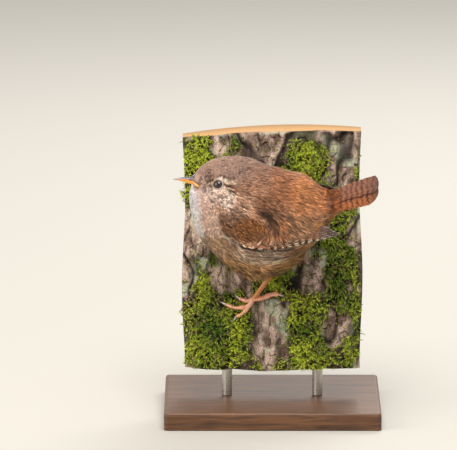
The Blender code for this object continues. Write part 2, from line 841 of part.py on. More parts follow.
def build_tail():
    """Twelve tail feathers in pairs, the middle pair on top, and their coverts."""
    surface = tail_surface()
    feathers = []
    for pair in range(TAIL_PAIRS):
        for _, side in SIDES:
            root, bend, tip = ((along, side * (first + step * pair))
                               for along, first, step in (TAIL_ROOTS, TAIL_BENDS, TAIL_TIPS))
            tip = (tip[0] - TAIL_STEPS[pair], tip[1])
            half = TAIL_HALF_WIDTH - TAIL_NARROWING * pair
            height = TAIL_HEIGHT + (TAIL_STAGGER * side if pair == 0 else 0.0)
            tilt = -side * TAIL_TILT
            feathers.append(vane(surface, root, bend, tip, half, height, tilt, TAIL_VANE))
    for count, length, root_spread, tip_spread, half, height in TAIL_COVERTS:
        for j in range(count):
            share = 2.0 * j / (count - 1.0) - 1.0
            root = (0.0, root_spread * share)
            tip = (length - COVERT_ROUNDING * share * share, tip_spread * share)
            bend = (0.5 * length, tip_spread * share)
            level = height - COVERT_SINK * abs(share)
            feathers.append(vane(surface, root, bend, tip, half, level, 0.0, SHORT_VANE))
    tail = tail_core("tail", surface)
    join(tail, feathers)
    cut(tail, [grown_body()])
    finish(keep_largest(tail), TAIL_RUFOUS, 0.8)


def bark_relief(x, z):
    """Height of the bark's ridges above the trunk's round face."""
    ridge = 0.0
    for share, along_x, along_z, phase, bend in BARK_WAVES:
        wander = bend * math.sin(0.075 * z + 0.11 * x + phase)
        ridge += share * math.sin(along_x * x + along_z * z + phase + wander)
    calm = 1.0
    for foot in (LEFT_FOOT, RIGHT_FOOT):
        away = math.hypot(x - foot[0], z - foot[1])
        rough = smooth((away - CALM_RADIUS) / CALM_RADIUS)
        calm = min(calm, CALM_SHARE + (1.0 - CALM_SHARE) * rough)
    return BARK_RELIEF * ridge * calm


def bark_y(x, z):
    """World Y of the bark's face."""
    lean = math.tan(math.radians(TRUNK_LEAN))
    round_off = TRUNK_RADIUS - math.sqrt(TRUNK_RADIUS ** 2 - x * x)
    return FACE_Y + (z - FOOT_Z) * lean + round_off - bark_relief(x, z)


def build_trunk():
    """Slab sawn from the trunk: bark in front, sawn flat on the other sides."""
    lean = math.tan(math.radians(TRUNK_LEAN))
    points = []
    for i in range(BARK_ROWS + 1):
        row = i / BARK_ROWS
        for j in range(BARK_COLUMNS + 1):
            side = 2.0 * j / BARK_COLUMNS - 1.0
            top = SLAB_TOP - SLAB_SLOPE * (side - 0.3) ** 2
            z = SLAB_BOTTOM + (top - SLAB_BOTTOM) * row
            half = SLAB_HALF_WIDTH * (1.0 - SLAB_WAVER * math.sin(4.2 * row + 1.5 * side) ** 2)
            x = half * side
            points.append((x, bark_y(x, z), z))
    columns = BARK_COLUMNS + 1
    faces = []
    for i in range(BARK_ROWS):
        for j in range(BARK_COLUMNS):
            a = i * columns + j
            faces.append((a, a + 1, a + columns + 1))
            faces.append((a, a + columns + 1, a + columns))
    rim = list(range(columns))
    rim += [i * columns + columns - 1 for i in range(1, BARK_ROWS + 1)]
    rim += [BARK_ROWS * columns + j for j in range(columns - 2, -1, -1)]
    rim += [i * columns for i in range(BARK_ROWS - 1, 0, -1)]
    start = len(points)
    for index in rim:
        x, _, z = points[index]
        points.append((x, FACE_Y + (z - FOOT_Z) * lean + SLAB_THICKNESS, z))
    for k in range(len(rim)):
        n = (k + 1) % len(rim)
        faces.append((rim[k], start + k, start + n))
        faces.append((rim[k], start + n, rim[n]))
    faces.append(tuple(range(start, start + len(rim))))
    trunk = face_out(mesh_object("perch_trunk", points, faces))
    finish(trunk, BARK_BROWN, 0.95)


def build_stand():
    """Plain base and two short rods under the slab."""
    mesh = bpy.data.meshes.new("stand_base")
    work = bmesh.new()
    bmesh.ops.create_cube(work, size=1.0)
    size = Vector((BASE_WIDTH, BASE_DEPTH, BASE_HEIGHT)) * MM
    bmesh.ops.scale(work, vec=size, verts=work.verts)
    bmesh.ops.translate(work, vec=(0.0, 0.0, BASE_HEIGHT * MM / 2.0), verts=work.verts)
    edges = [e for e in work.edges if max(v.co.z for v in e.verts) > 0.5 * BASE_HEIGHT * MM]
    bmesh.ops.bevel(work, geom=edges, offset=BASE_BEVEL * MM, segments=3, profile=0.5,
                    affect="EDGES")
    work.to_mesh(mesh)
    work.free()
    base = bpy.data.objects.new("stand_base", mesh)
    bpy.context.scene.collection.objects.link(base)
    finish(base, BASE_BROWN, 0.4)
    for name, side in (("stand_rod_left", -1), ("stand_rod_right", 1)):
        low = BASE_HEIGHT + GAP
        path = [(side * ROD_SPREAD, ROD_Y, low), (side * ROD_SPREAD, ROD_Y, low + ROD_LENGTH)]
        rod = tube(name, path, (ROD_RADIUS, ROD_RADIUS), 16)
        finish(rod, ROD_BRASS, 0.3, 1.0)


def on_bark(x, z, height):
    """Point above the bark, measured along the face's normal."""
    lean = math.radians(TRUNK_LEAN)
    z_shift = height * math.sin(lean)
    y = bark_y(x, z)
    return Vector((x, y - height * math.cos(lean), z + z_shift))


def foot_point(place, u, v, height):
    """Point of a foot on the bark, from its own two directions on the face."""
    _, foot, mirror, turn = place
    c, s = math.cos(math.radians(turn)), math.sin(math.radians(turn))
    v = v * mirror
    x = foot[0] + u * c - v * s
    z = foot[1] + (u * s + v * c) * math.cos(math.radians(TRUNK_LEAN))
    return on_bark(x, z, height)


def toe_path(place, path):
    """Points and radii along one toe, with a raised edge at every other ring."""
    points = []
    radii = []
    for i in range(TOE_STEPS + 1):
        share = i / TOE_STEPS
        u, v = spline(path, (len(path) - 1) * share)
        radius = TOE_RADIUS * (1.0 - TOE_TAPER * share)
        points.append(foot_point(place, u, v, radius * (1.0 + SCUTE) + GAP))
        radii.append(radius * (1.0 + (SCUTE if i % 2 else -SCUTE)))
    return points, radii


def foot_pieces(place, grow):
    """Toes and sole of a foot, grown by a margin."""
    pieces = []
    for _, path, _ in TOES:
        points, radii = toe_path(place, path)
        pieces.append(tube("toe", points, [r + grow for r in radii], 6, 0.9))
    pad_at = foot_point(place, 0.0, 0.0, PAD_SIZE[0])
    size = [s + grow for s in PAD_SIZE]
    pieces.append(ellipsoid("pad", pad_at, WORLD_AXES, size, 10, 7))
    return pieces


def build_feet():
    """Four toes on each foot, with their claws as separate pieces."""
    for place in FEET:
        pieces = foot_pieces(place, 0.0)
        foot = pieces.pop()
        foot.name = "foot_" + place[0]
        join(foot, pieces)
        finish(keep_largest(foot), TOE_PINK, 0.55)
        for toe, path, tip in TOES:
            build_claw(place, toe, path, tip)


def build_claw(place, toe, path, tip):
    """Curved claw from the end of a toe down to the bark."""
    points, _ = toe_path(place, path)
    end = points[-1]
    start = end + (end - points[-2]).normalized() * (GAP + 0.02)
    tip_at = foot_point(place, *tip, CLAW_CLEAR)
    rise = (end - foot_point(place, *path[-1], 0.0)).normalized()
    middle = (start + tip_at) / 2.0 + rise * CLAW_ARCH
    claw_path = []
    claw_radii = []
    for i in range(CLAW_STEPS + 1):
        t = i / CLAW_STEPS
        claw_path.append(start * (1.0 - t) ** 2 + middle * (2.0 * t * (1.0 - t)) + tip_at * t * t)
        claw_radii.append(CLAW_RADIUS * (1.0 - t) + CLAW_TIP * t)
    claw = tube("claw_" + place[0] + "_" + toe, claw_path, claw_radii, 6)
    finish(claw, CLAW_HORN, 0.4)


def build_legs():
    """Feathered thigh and scaled tarsus of each leg."""
    for place, ankle, knee in zip(FEET, ANKLES, KNEES):
        ankle_at = body_to_world(*ankle)
        knee_at = body_to_world(*knee)
        toe_root = foot_point(place, 0.0, 0.0, PAD_SIZE[0])
        path = [knee_at, knee_at.lerp(ankle_at, 0.5), ankle_at]
        leg = tube("leg_" + place[0], path, THIGH_RADII, 12)
        shank_path = []
        radii = []
        steps = 2 * TARSUS_SCUTES
        for i in range(steps + 1):
            t = i / steps
            swell = 1.0 + JOINT_SWELL * abs(1.0 - 2.0 * t) ** 3
            shank_path.append(ankle_at.lerp(toe_root, t))
            radii.append(TARSUS_RADIUS * swell * (1.0 + (SCUTE if i % 2 else -SCUTE)))
        join(leg, [tube("shank", shank_path, radii, 8)])
        cut(leg, [grown_body()] + foot_pieces(place, CUT_GROWTH))
        finish(keep_largest(leg), LEG_PINK, 0.6)


def clear_scene():
    """Remove whatever the scene holds."""
    for item in list(bpy.data.objects):
        bpy.data.objects.remove(item, do_unlink=True)


clear_scene()
build_head()
build_body()
build_eyes()
build_bill()
build_wings()
build_tail()
build_trunk()
build_stand()
build_feet()
build_legs()
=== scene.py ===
import bpy
import numpy as np
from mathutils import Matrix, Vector


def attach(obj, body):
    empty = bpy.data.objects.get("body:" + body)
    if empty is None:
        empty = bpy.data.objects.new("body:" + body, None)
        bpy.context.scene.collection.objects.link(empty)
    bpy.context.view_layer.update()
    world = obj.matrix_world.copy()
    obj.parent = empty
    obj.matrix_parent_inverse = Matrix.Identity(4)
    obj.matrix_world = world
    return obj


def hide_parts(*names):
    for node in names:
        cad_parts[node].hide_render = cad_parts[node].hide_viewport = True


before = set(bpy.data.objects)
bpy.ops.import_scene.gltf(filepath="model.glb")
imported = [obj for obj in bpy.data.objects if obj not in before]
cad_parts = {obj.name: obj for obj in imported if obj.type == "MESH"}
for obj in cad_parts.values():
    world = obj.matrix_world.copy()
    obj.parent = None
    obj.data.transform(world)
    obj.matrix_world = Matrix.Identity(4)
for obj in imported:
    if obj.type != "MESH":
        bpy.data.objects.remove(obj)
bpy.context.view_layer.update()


# Stand base: a flat walnut board with a rounded top edge, planed and oiled to a
# low sheen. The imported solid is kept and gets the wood's finish.

def linear(code):
    """Linear colour of an sRGB hex code: the gamma curve of each channel undone."""
    channels = np.array([int(code[i:i + 2], 16) for i in (1, 3, 5)]) / 255.0
    return np.where(channels <= 0.04045, channels / 12.92, ((channels + 0.055) / 1.055) ** 2.4)


def fill(made, sockets):
    """Link each node to a socket by its first output in use, or set a number or hex colour."""
    for key, value in sockets.items():
        socket = made.inputs[key.replace("_", " ") if isinstance(key, str) else key]
        if isinstance(value, bpy.types.Node):
            value = next(output for output in value.outputs if output.enabled)
        if isinstance(value, bpy.types.NodeSocket):
            made.id_data.links.new(value, socket)
        else:
            socket.default_value = (*linear(value), 1.0) if isinstance(value, str) else value


def node(tree, kind, *inputs, **settings):
    """Add a shader node, set its properties, and fill the inputs in use, in order or by name."""
    made = tree.nodes.new("ShaderNode" + kind)
    for key in [key for key in settings if hasattr(made, key)]:
        setattr(made, key, settings.pop(key))
    used = [number for number, socket in enumerate(made.inputs) if socket.enabled]
    fill(made, {**dict(zip(used, inputs)), **settings})
    return made


def finish(name, **sockets):
    """Start a material whose shader has the given sockets."""
    made = bpy.data.materials.new(name)
    made.use_nodes = True
    shader = made.node_tree.nodes["Principled BSDF"]
    fill(shader, sockets)
    return made, made.node_tree, shader


def dress(name, material):
    """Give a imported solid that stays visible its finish."""
    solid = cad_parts[name]
    solid.data.materials.clear()
    solid.data.materials.append(material)


# Oiled walnut: soft brown streaks along the board, pores felt as fine grooves
walnut, tree, shader = finish("walnut_oiled", Roughness=0.42, IOR=1.45)
place = node(tree, "TexCoord").outputs["Object"]
streaks = node(tree, "Mapping", place, Scale=(45.0, 520.0, 520.0))
figure = node(tree, "TexNoise", streaks, Scale=1.0, Detail=5.0, Distortion=0.6)
pores = node(tree, "Mapping", place, Scale=(260.0, 3600.0, 3600.0))
pits = node(tree, "TexNoise", pores, Scale=1.0, Detail=2.0)
tone = node(tree, "MapRange", figure, 0.3, 0.7)
wood = node(tree, "Mix", tone, "#3a2416", "#6b472c", data_type="RGBA")
fill(shader, {"Base Color": wood, "Normal": node(tree, "Bump", 0.25, 0.0002, Height=pits)})
dress("stand_base", walnut)


# Stand rods: two short bars of stainless steel, turned and brushed, let into the
# base and the slab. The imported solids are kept.

steel, tree, shader = finish("stainless_steel_brushed", Base_Color="#b4b0a8", Metallic=1.0,
                             Roughness=0.3)
place = node(tree, "TexCoord").outputs["Object"]
rings = node(tree, "Mapping", place, Scale=(60.0, 60.0, 5200.0))
scratch = node(tree, "TexNoise", rings, Scale=1.0, Detail=3.0)
fill(shader, {"Roughness": node(tree, "MapRange", scratch, 0.3, 0.7, 0.24, 0.4),
              "Normal": node(tree, "Bump", 0.15, 0.0001, Height=scratch)})
dress("stand_rod_left", steel)
dress("stand_rod_right", steel)


# Perch: a slab sawn from a leaning trunk, rough bark in front, sawn flat behind
# and on its sides. Its bark is fissured and grown over with moss and lichen.

MM = 0.001
SLAB_HALF_WIDTH = 42.0
SLAB_BOTTOM = 22.3
SLAB_TOP = 128.99
SLAB_THICKNESS = 22.0
# Share by which the slab's half width waves in and out up its sides
SLAB_WAIST = 0.035
SLAB_COLUMNS, SLAB_ROWS = 230, 300
# Depths on the slab's sides where the bark ends and the sawn wood begins
BARK_DEPTH, SAWN_FROM = 2.5, 2.8
TRUNK_RADIUS = 110.0
LEAN = np.tan(np.radians(17.0))
FACE_Y = -8.0
FOOT_Z = 54.0
BARK_RELIEF = 2.1
# Share, waves along X and Z, phase and bend of each sine in the bark's broad shape
BARK_WAVES = ((0.62, 0.19, 0.05, 0.3, 0.9), (0.22, 0.02, 0.16, 1.0, 0.6),
              (0.16, 0.60, 0.12, 0.7, 0.4), (0.15, 0.26, -0.54, 2.1, 0.3))
# Where the toes of each foot meet, as X and Z on the bark
LEFT_FOOT = (-8.8, 54.0)
RIGHT_FOOT = (-6.0, 74.5)


def blend(one, two, share):
    """Colour between two, given as hex codes or arrays, at a share from 0 to 1."""
    one, two = (linear(tone) if isinstance(tone, str) else tone for tone in (one, two))
    return one + (two - one) * share


def ease(value):
    """Ease from 0 to 1 while the value runs from 0 to 1: 3t^2 - 2t^3."""
    t = np.clip(value, 0.0, 1.0)
    return t * t * (3.0 - 2.0 * t)


def grain(points, cell, seed, octaves=3):
    """Noise from -1 to 1: random lattices eased between corners, each octave half as wide."""
    table = np.random.default_rng(seed).random((32, 32, 32))
    total = 0.0
    for octave in range(octaves):
        at = np.asarray(points) * (2.0 ** octave / cell) + 7.3 * octave
        base = np.floor(at).astype(int)
        share = ease(at - base)
        value = 0.0
        for corner in np.ndindex(2, 2, 2):
            weight = np.prod(np.where(corner, share, 1.0 - share), axis=-1)
            i, j, k = np.moveaxis((base + corner) % 32, -1, 0)
            value = value + weight * table[i, j, k]
        total = total + (2.0 * value - 1.0) * 0.5 ** octave
    return total / (2.0 - 0.5 ** (octaves - 1))


def calm(x, z, near, reach):
    """Share from 0 at the feet to 1 away from them."""
    away = [np.hypot(x - foot[0], z - foot[1]) for foot in (LEFT_FOOT, RIGHT_FOOT)]
    return ease((np.minimum(*away) - near) / reach)


def bark_face(x, z):
    """World Y of the bark's broad shape: leaning round trunk less four summed sines."""
    ridge = 0.0
    for share, along_x, along_z, phase, bend in BARK_WAVES:
        wander = bend * np.sin(0.075 * z + 0.11 * x + phase)
        ridge = ridge + share * np.sin(along_x * x + along_z * z + phase + wander)
    relief = BARK_RELIEF * ridge * (0.12 + 0.88 * calm(x, z, 12.0, 12.0))
    return FACE_Y + (z - FOOT_Z) * LEAN + TRUNK_RADIUS - np.sqrt(TRUNK_RADIUS ** 2 - x * x) - relief


def on_face(x, z, squeeze):
    """Place on the bark for its noises, squeezed upwards, so that their forms are tall."""
    return np.stack([x, squeeze * z, 0.0 * x], axis=-1)


def moss_share(x, z):
    """Where moss grows, from 0 to 1: broad noise past a threshold."""
    here = on_face(x, z, 0.7)
    return ease((grain(here, 15.0, 5, 3) + 0.25 * grain(here, 4.0, 6, 2) + 0.16) / 0.22)


def bark_detail(x, z):
    """Height over the broad shape: plates between fissures, crumbling flakes, moss cushions."""
    here = on_face(x, z, 0.42)
    bent = here + 2.2 * np.stack([grain(here, 9.0, 1, 2), grain(here, 9.0, 2, 2), 0.0 * x], axis=-1)
    cracks = ease(1.0 - np.abs(grain(bent, 8.5, 3, 2)) / 0.16)
    fine = on_face(x, z, 0.6)
    cracks = np.maximum(cracks, 0.6 * ease(1.0 - np.abs(grain(fine + 0.5 * bent, 3.6, 8, 2)) / 0.13))
    flakes = grain(fine, 2.6, 4, 4)
    rough = (0.95 * flakes - 1.7 * cracks) * (0.25 + 0.75 * calm(x, z, 4.0, 14.0))
    return rough + moss_share(x, z) * calm(x, z, 9.0, 9.0), cracks, flakes


def piece(name, points, faces, material, nodes, colour=None, uv=None, corner_uv=None,
          smooth=True, marks=None):
    """One piece of the model: points in mm, faces as rows of corners, marks as attributes."""
    groups = faces if isinstance(faces, list) else [faces]
    corners = np.concatenate([np.asarray(group).ravel() for group in groups]).astype(np.int32)
    sizes = np.concatenate([np.full(len(group), np.shape(group)[1]) for group in groups])
    mesh = bpy.data.meshes.new(name)
    mesh.vertices.add(len(points))
    mesh.vertices.foreach_set("co", (np.asarray(points) * MM).ravel())
    mesh.loops.add(len(corners))
    mesh.loops.foreach_set("vertex_index", corners)
    mesh.polygons.add(len(sizes))
    mesh.polygons.foreach_set("loop_start", np.cumsum(sizes) - sizes)
    mesh.polygons.foreach_set("use_smooth", np.full(len(sizes), smooth))
    mesh.update(calc_edges=True)
    if colour is not None:
        tint = np.concatenate([np.clip(colour, 0.0, 1.0), np.ones((len(points), 1))], axis=1)
        mesh.color_attributes.new("Col", "FLOAT_COLOR", "POINT").data.foreach_set("color", tint.ravel())
    if uv is not None or corner_uv is not None:
        places = np.asarray(uv)[corners] if corner_uv is None else corner_uv
        mesh.uv_layers.new(name="OFBake").data.foreach_set("uv", np.ravel(places))
    for key, values in (marks or {}).items():
        mesh.attributes.new(key, "FLOAT", "POINT").data.foreach_set("value", values)
    mesh.materials.append(material)
    made = bpy.data.objects.new(name, mesh)
    bpy.context.scene.collection.objects.link(made)
    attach(made, "root")
    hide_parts(*nodes)
    return made


def grid_faces(rows, columns):
    """Quads of an open grid whose points run row by row."""
    i, j = np.mgrid[0:rows - 1, 0:columns - 1]
    a = (i * columns + j).ravel()
    return np.stack([a, a + 1, a + columns + 1, a + columns], axis=1)


def grid_rim(rows, columns):
    """Points round the edge of that grid, in order."""
    return np.concatenate([np.arange(columns), (np.arange(1, rows) + 1) * columns - 1,
                           (rows - 1) * columns + np.arange(columns - 2, -1, -1),
                           np.arange(rows - 2, 0, -1) * columns])


# Bark with sawn wood: the vertex colour carries plates, lichen and fissures darkened as painted
# shade, the shader adds grit of 0.4 mm and, where Sawn is 1, growth rings 2 mm apart
bark, tree, shader = finish("oak_bark_weathered", Roughness=0.9, Specular_IOR_Level=0.25)
tint = node(tree, "Attribute", attribute_name="Col")
sawn = node(tree, "Attribute", attribute_name="Sawn").outputs["Fac"]
place = node(tree, "TexCoord").outputs["Object"]
grit = node(tree, "TexNoise", place, Scale=1900.0, Detail=6.0, Roughness=0.65)
speck = node(tree, "MapRange", grit, 0.32, 0.68, 0.35, 1.6)
rough_bark = node(tree, "VectorMath", tint, speck, operation="SCALE")
# The rings' centre lies 102 mm behind, where the trunk's axis was
middle = node(tree, "Mapping", place, Location=(0.0, -0.102, 0.0), Scale=(1.0, 1.0, 0.02))
growth = node(tree, "TexWave", middle, wave_type="RINGS", rings_direction="Z", Scale=160.0,
              Distortion=1.5, Detail=2.0, Detail_Scale=0.6).outputs["Fac"]
cut_wood = node(tree, "Mix", growth, "#c49a68", "#a77c4e", data_type="RGBA")
shown = node(tree, "Mix", sawn, rough_bark, cut_wood, data_type="RGBA")
fill(shader, {"Base Color": shown, "Normal": node(tree, "Bump", 0.7, 0.0004, Height=grit)})

row = np.linspace(0.0, 1.0, SLAB_ROWS)[:, None]
side = np.linspace(-1.0, 1.0, SLAB_COLUMNS)[None, :]
top = SLAB_TOP - 2.5 * (side - 0.3) ** 2
slab_z = SLAB_BOTTOM + (top - SLAB_BOTTOM) * row
slab_x = SLAB_HALF_WIDTH * (1.0 - SLAB_WAIST * np.sin(4.2 * row + 1.5 * side) ** 2) * side
height, cracks, flakes = bark_detail(slab_x, slab_z)
# The detail fades out at the sawn edges, so the slab keeps its outline
fade = ease((1.0 - np.abs(side)) / 0.03) * ease((1.0 - row) / 0.012) * ease(row / 0.012)
front = np.stack([slab_x, bark_face(slab_x, slab_z) - height * fade, slab_z], axis=-1)
rim = grid_rim(SLAB_ROWS, SLAB_COLUMNS)
edge = front.reshape(-1, 3)[rim]
back_y = FACE_Y + (edge[:, 2] - FOOT_Z) * LEAN + SLAB_THICKNESS
walls = [np.stack([edge[:, 0], wall_y, edge[:, 2]], axis=-1)
         for wall_y in (edge[:, 1] + BARK_DEPTH, edge[:, 1] + SAWN_FROM, back_y)]
points = np.concatenate([front.reshape(-1, 3), *walls])
count, start = len(rim), SLAB_ROWS * SLAB_COLUMNS
turn = (np.arange(count) + 1) % count
loops = [rim] + [start + k * count + np.arange(count) for k in range(3)]
wall_faces = [np.stack([one, two, two[turn], one[turn]], axis=1)
              for one, two in zip(loops[:-1], loops[1:])]
lichen = ease((grain(front, 11.0, 9, 3) - 0.1) / 0.2)[..., None]
ground = blend("#5c4a3e", "#b09a8c", ease(1.1 * flakes + 0.45)[..., None])
ground = blend(ground, "#a3ab93", 0.65 * lichen)
# Dark olive under the moss: partly the moss's own base, partly painted shade under the shoots
ground = blend(ground, "#262c10", 0.8 * moss_share(slab_x, slab_z)[..., None])
# Painted shade in the fissures: the colour drops to a tenth in the cracks
ground = (ground * (1.0 - 0.9 * cracks[..., None])).reshape(-1, 3)
colour = np.concatenate([ground, ground[rim] * 0.7, np.tile(linear("#5a4330"), (2 * count, 1))])
sawn_share = np.zeros(len(points))
sawn_share[start + count:] = 1.0
piece("perch_slab", points, [grid_faces(SLAB_ROWS, SLAB_COLUMNS), *wall_faces, loops[-1][None, ::-1]],
      bark, ["perch_trunk"], colour=colour, marks={"Sawn": sawn_share})


# Moss on the bark: clumps of leafy shoots that arch out of the fissures and plates,
# yellow-green at the tips, dark below: partly older growth, partly painted shade deep in
# the clumps. Each shoot has a stem and closed narrow leaves.

# Places drawn on the bark, of which the first that lie in moss carry a shoot
MOSS_TRIES = 60000
MOSS_SHOOTS = 7800
SHOOT_LEAVES = 10
MOSS_PIECES = 3
LEAF_WIDTH, STEM_WIDTH = 0.19, 0.13
SHORTEST_SHOOT, TALLEST_SHOOT = 0.9, 5.6
BARK_OUTWARD = (0.0, -0.93, 0.36)


def unit(way, least=0.0):
    """Each direction at length 1; least keeps one of no length from dividing by zero."""
    return way / (np.linalg.norm(way, axis=-1, keepdims=True) + least)


def spikes(root, way, out, long, wide):
    """Narrow tetrahedra: three base corners across the way, one point at the end."""
    across = unit(np.cross(way, out), 1e-9)
    rise = np.cross(across, way)
    return np.stack([root + across * wide, root - across * wide, root + rise * wide,
                     root + way * long], axis=-2)


def speckled(name, scale, detail, tones=(), bump=(), stretch=(), **sockets):
    """Material coloured at each point, with fine noise that varies its tone and dents it.

    tones are the darkest and lightest share of the colour, bump the dents' strength and
    depth in metres, and stretch the noise's scale on each axis.
    """
    made, tree, shader = finish(name, **sockets)
    place = node(tree, "TexCoord").outputs["Object"]
    if stretch:
        place = node(tree, "Mapping", place, Scale=stretch)
    speck = node(tree, "TexNoise", place, Scale=scale, Detail=detail)
    tint = node(tree, "Attribute", attribute_name="Col")
    if tones:
        shade = node(tree, "MapRange", speck, 0.3, 0.7, *tones)
        tint = node(tree, "VectorMath", tint, shade, operation="SCALE")
    fill(shader, {"Base Color": tint})
    if bump:
        fill(shader, {"Normal": node(tree, "Bump", *bump, Height=speck)})
    return made


draw = np.random.default_rng(11)
x = draw.uniform(-SLAB_HALF_WIDTH + 1.5, SLAB_HALF_WIDTH - 1.5, MOSS_TRIES)
z = draw.uniform(SLAB_BOTTOM + 1.0, SLAB_TOP - 3.2, MOSS_TRIES)
kept = draw.random(MOSS_TRIES) < 0.06 + 0.94 * moss_share(x, z)
x, z = x[kept][:MOSS_SHOOTS], z[kept][:MOSS_SHOOTS]
root = np.stack([x, bark_face(x, z) - bark_detail(x, z)[0] + 0.3, z], axis=-1)
# Shoots arch out of the bark, each clump its own way; near the toes they stay short
clump = np.stack([grain(root, 7.0, seed, 2) for seed in (22, 23, 24)], axis=-1)
tall = (1.7 + 3.4 * moss_share(x, z) * draw.uniform(0.5, 1.15, len(x))) * (0.75 + 0.6 * clump[:, 2])
tall = np.clip(tall, SHORTEST_SHOOT, TALLEST_SHOOT) * (0.3 + 0.7 * calm(x, z, 4.0, 11.0))
lean_by = 1.3 * clump[:, :2] + draw.normal(0.0, 0.45, (len(x), 2))
way = unit(BARK_OUTWARD + lean_by[:, :1] * np.array([1.0, 0.0, 0.0])
           + lean_by[:, 1:] * np.array([0.0, 0.3, 0.95]))[:, None, :]
droop = (np.array([0.0, -0.15, -0.55]) + draw.normal(0.0, 0.3, (len(x), 3)))[:, None, :]
level = ((np.arange(SHOOT_LEAVES) + 0.6) / SHOOT_LEAVES)[:, None]
at_stem = root[:, None, :] + tall[:, None, None] * (way * level + droop * level ** 2 * 0.5)
along_stem = unit(way + droop * level)
beside = unit(np.cross(along_stem, draw.normal(0.0, 1.0, (len(x), 1, 3))))
beside = beside * np.where(np.arange(SHOOT_LEAVES) % 2, 1.0, -1.0)[None, :, None]
leaf_way = unit(0.75 * along_stem + 0.75 * beside + draw.normal(0.0, 0.15, at_stem.shape))
leaf_long = (1.6 - 0.7 * level) * draw.uniform(0.7, 1.2, (len(x), SHOOT_LEAVES, 1))
leaf_long = leaf_long * np.clip(tall, 0.7, 2.6)[:, None, None] / 2.6
leaves = spikes(at_stem, leaf_way, beside + 0.3 * along_stem, leaf_long, LEAF_WIDTH)
stem_root = np.stack([root, at_stem[:, SHOOT_LEAVES // 2]], axis=1)
stem_way = np.stack([at_stem[:, SHOOT_LEAVES // 2 + 1], at_stem[:, -1] + 0.6 * along_stem[:, -1]],
                    axis=1) - stem_root
stems = spikes(stem_root, unit(stem_way), np.array([1.0, 0.1, 0.0]) + 0.0 * stem_way,
               np.linalg.norm(stem_way, axis=-1, keepdims=True), STEM_WIDTH)
shoots = np.concatenate([leaves, stems], axis=1).reshape(len(x), -1, 3)
shoots[..., 2] = np.clip(shoots[..., 2], SLAB_BOTTOM + 0.2, SLAB_TOP - 0.3)
# Green by clump, from deep green to yellow, some shoots old and brown; dark at the foot and
# lighter at each leaf's tip: painted shade and light inside the clump
fresh = np.clip(0.55 + 0.9 * grain(root, 8.0, 21, 2) + draw.uniform(-0.25, 0.25, len(x)), 0.0, 1.0)
green = blend("#56781c", "#c6d33c", fresh[:, None])
old = (draw.random(len(x)) < 0.16 + 0.3 * ease(-2.0 * grain(root, 6.0, 25, 2)))[:, None]
green = np.where(old, linear("#8f8250"), green)[:, None, None, :]
leaf_tint = green * (0.22 + 0.98 * level ** 1.2)[..., None] * np.array([0.8, 0.8, 0.9, 1.25])[:, None]
stem_tint = (green * np.array([0.3, 0.75])[:, None, None]
             * np.array([0.8, 0.8, 0.9, 1.3])[:, None])
tints = np.concatenate([leaf_tint, stem_tint], axis=1).reshape(len(x), -1, 3)
# Moist moss: satin leaves, each a little lighter or darker than the next
moss = speckled("moss_shoots_moist", 700.0, 2.0, (0.75, 1.25), Roughness=0.6, Specular_IOR_Level=0.4)
dots = shoots.shape[1]
own = np.array([[0, 2, 1], [1, 3, 0], [2, 3, 1], [0, 3, 2]])
own = (own + 4 * np.arange(dots // 4)[:, None, None]).reshape(-1, 3)
each = len(x) // MOSS_PIECES
for k in range(MOSS_PIECES):
    part = slice(each * k, each * (k + 1))
    piece(f"perch_moss_{k + 1}", shoots[part].reshape(-1, 3),
          (own + dots * np.arange(each)[:, None, None]).reshape(-1, 3), moss, ["perch_trunk"],
          colour=tints[part].reshape(-1, 3), smooth=False)


# Skin: one closed surface for head, neck, trunk of the body and root of the tail,
# set in by the depth of the plumage, with the same markings as the feathers.

BODY_AT = (-4.0, -23.6, 93.2)
# Upper point (along, up), lower point (along, up), half width, egg factor
BODY_SECTIONS = np.array((
    (-31.9, 23.1, -32.8, 18.1, 1.9, 0.00), (-29.8, 26.2, -34.2, 14.5, 5.0, 0.05),
    (-24.8, 30.1, -34.4, 10.2, 7.4, 0.12), (-18.0, 32.4, -33.8, 6.2, 9.0, 0.20),
    (-10.8, 32.9, -33.0, 1.9, 11.2, 0.27), (-4.1, 31.7, -30.8, -4.9, 14.2, 0.28),
    (1.7, 28.8, -24.4, -13.5, 17.4, 0.22), (7.4, 26.9, -14.4, -22.6, 19.3, 0.12),
    (12.5, 24.9, -1.3, -26.9, 19.4, 0.04), (17.2, 23.6, 10.1, -21.7, 17.0, 0.00),
    (22.2, 22.2, 18.8, -14.7, 13.3, 0.00), (25.7, 19.3, 25.4, -6.9, 9.4, 0.00),
    (28.9, 16.6, 30.2, 3.1, 6.2, 0.00)))
LAST_SECTION = len(BODY_SECTIONS) - 1.0
EYE_AT = (-21.1, 22.2)
# Half width of the folded wings along the body
WING_PROFILE = np.array(((-24, 14.0), (-17, 18.2), (-9, 20.6), (0, 21.2), (9, 20.0), (18, 15.8),
                         (27, 12.2), (36, 10.0)))
RIGHT_WING_LIFT = 0.17
# Lower edge, as along and up, of the plumage that lies over the wing
OVER_WING_EDGE = np.array(((-21.5, 8.0), (-19.4, 4.6), (-15.5, 0.2), (-11.4, -2.0), (-5.0, -2.1),
                           (0.0, -1.2), (6.0, 0.2), (12.0, 0.9), (18.0, 1.8), (22.5, 4.4),
                           (26.0, 7.8), (29.0, 11.0)))
# Hollow between the small coverts and the shoulder feathers, as along and up
SWIRL = ((-2.0, 14.0), (2.0, 10.0), (3.6, 6.0), (2.6, 2.0), (-1.0, -0.6))
SKIN_ROWS, SKIN_COLUMNS = 150, 160
# Feathers root in the dark, so the skin has their colour at this share
SKIN_SHADE = 0.62


def roll(along):
    """Roll of the body about its length, in radians, growing towards the tail."""
    return np.radians(12.0 + 6.0 * ease((along + 25.0) / 30.0) + 34.0 * ease((along - 10.0) / 45.0))


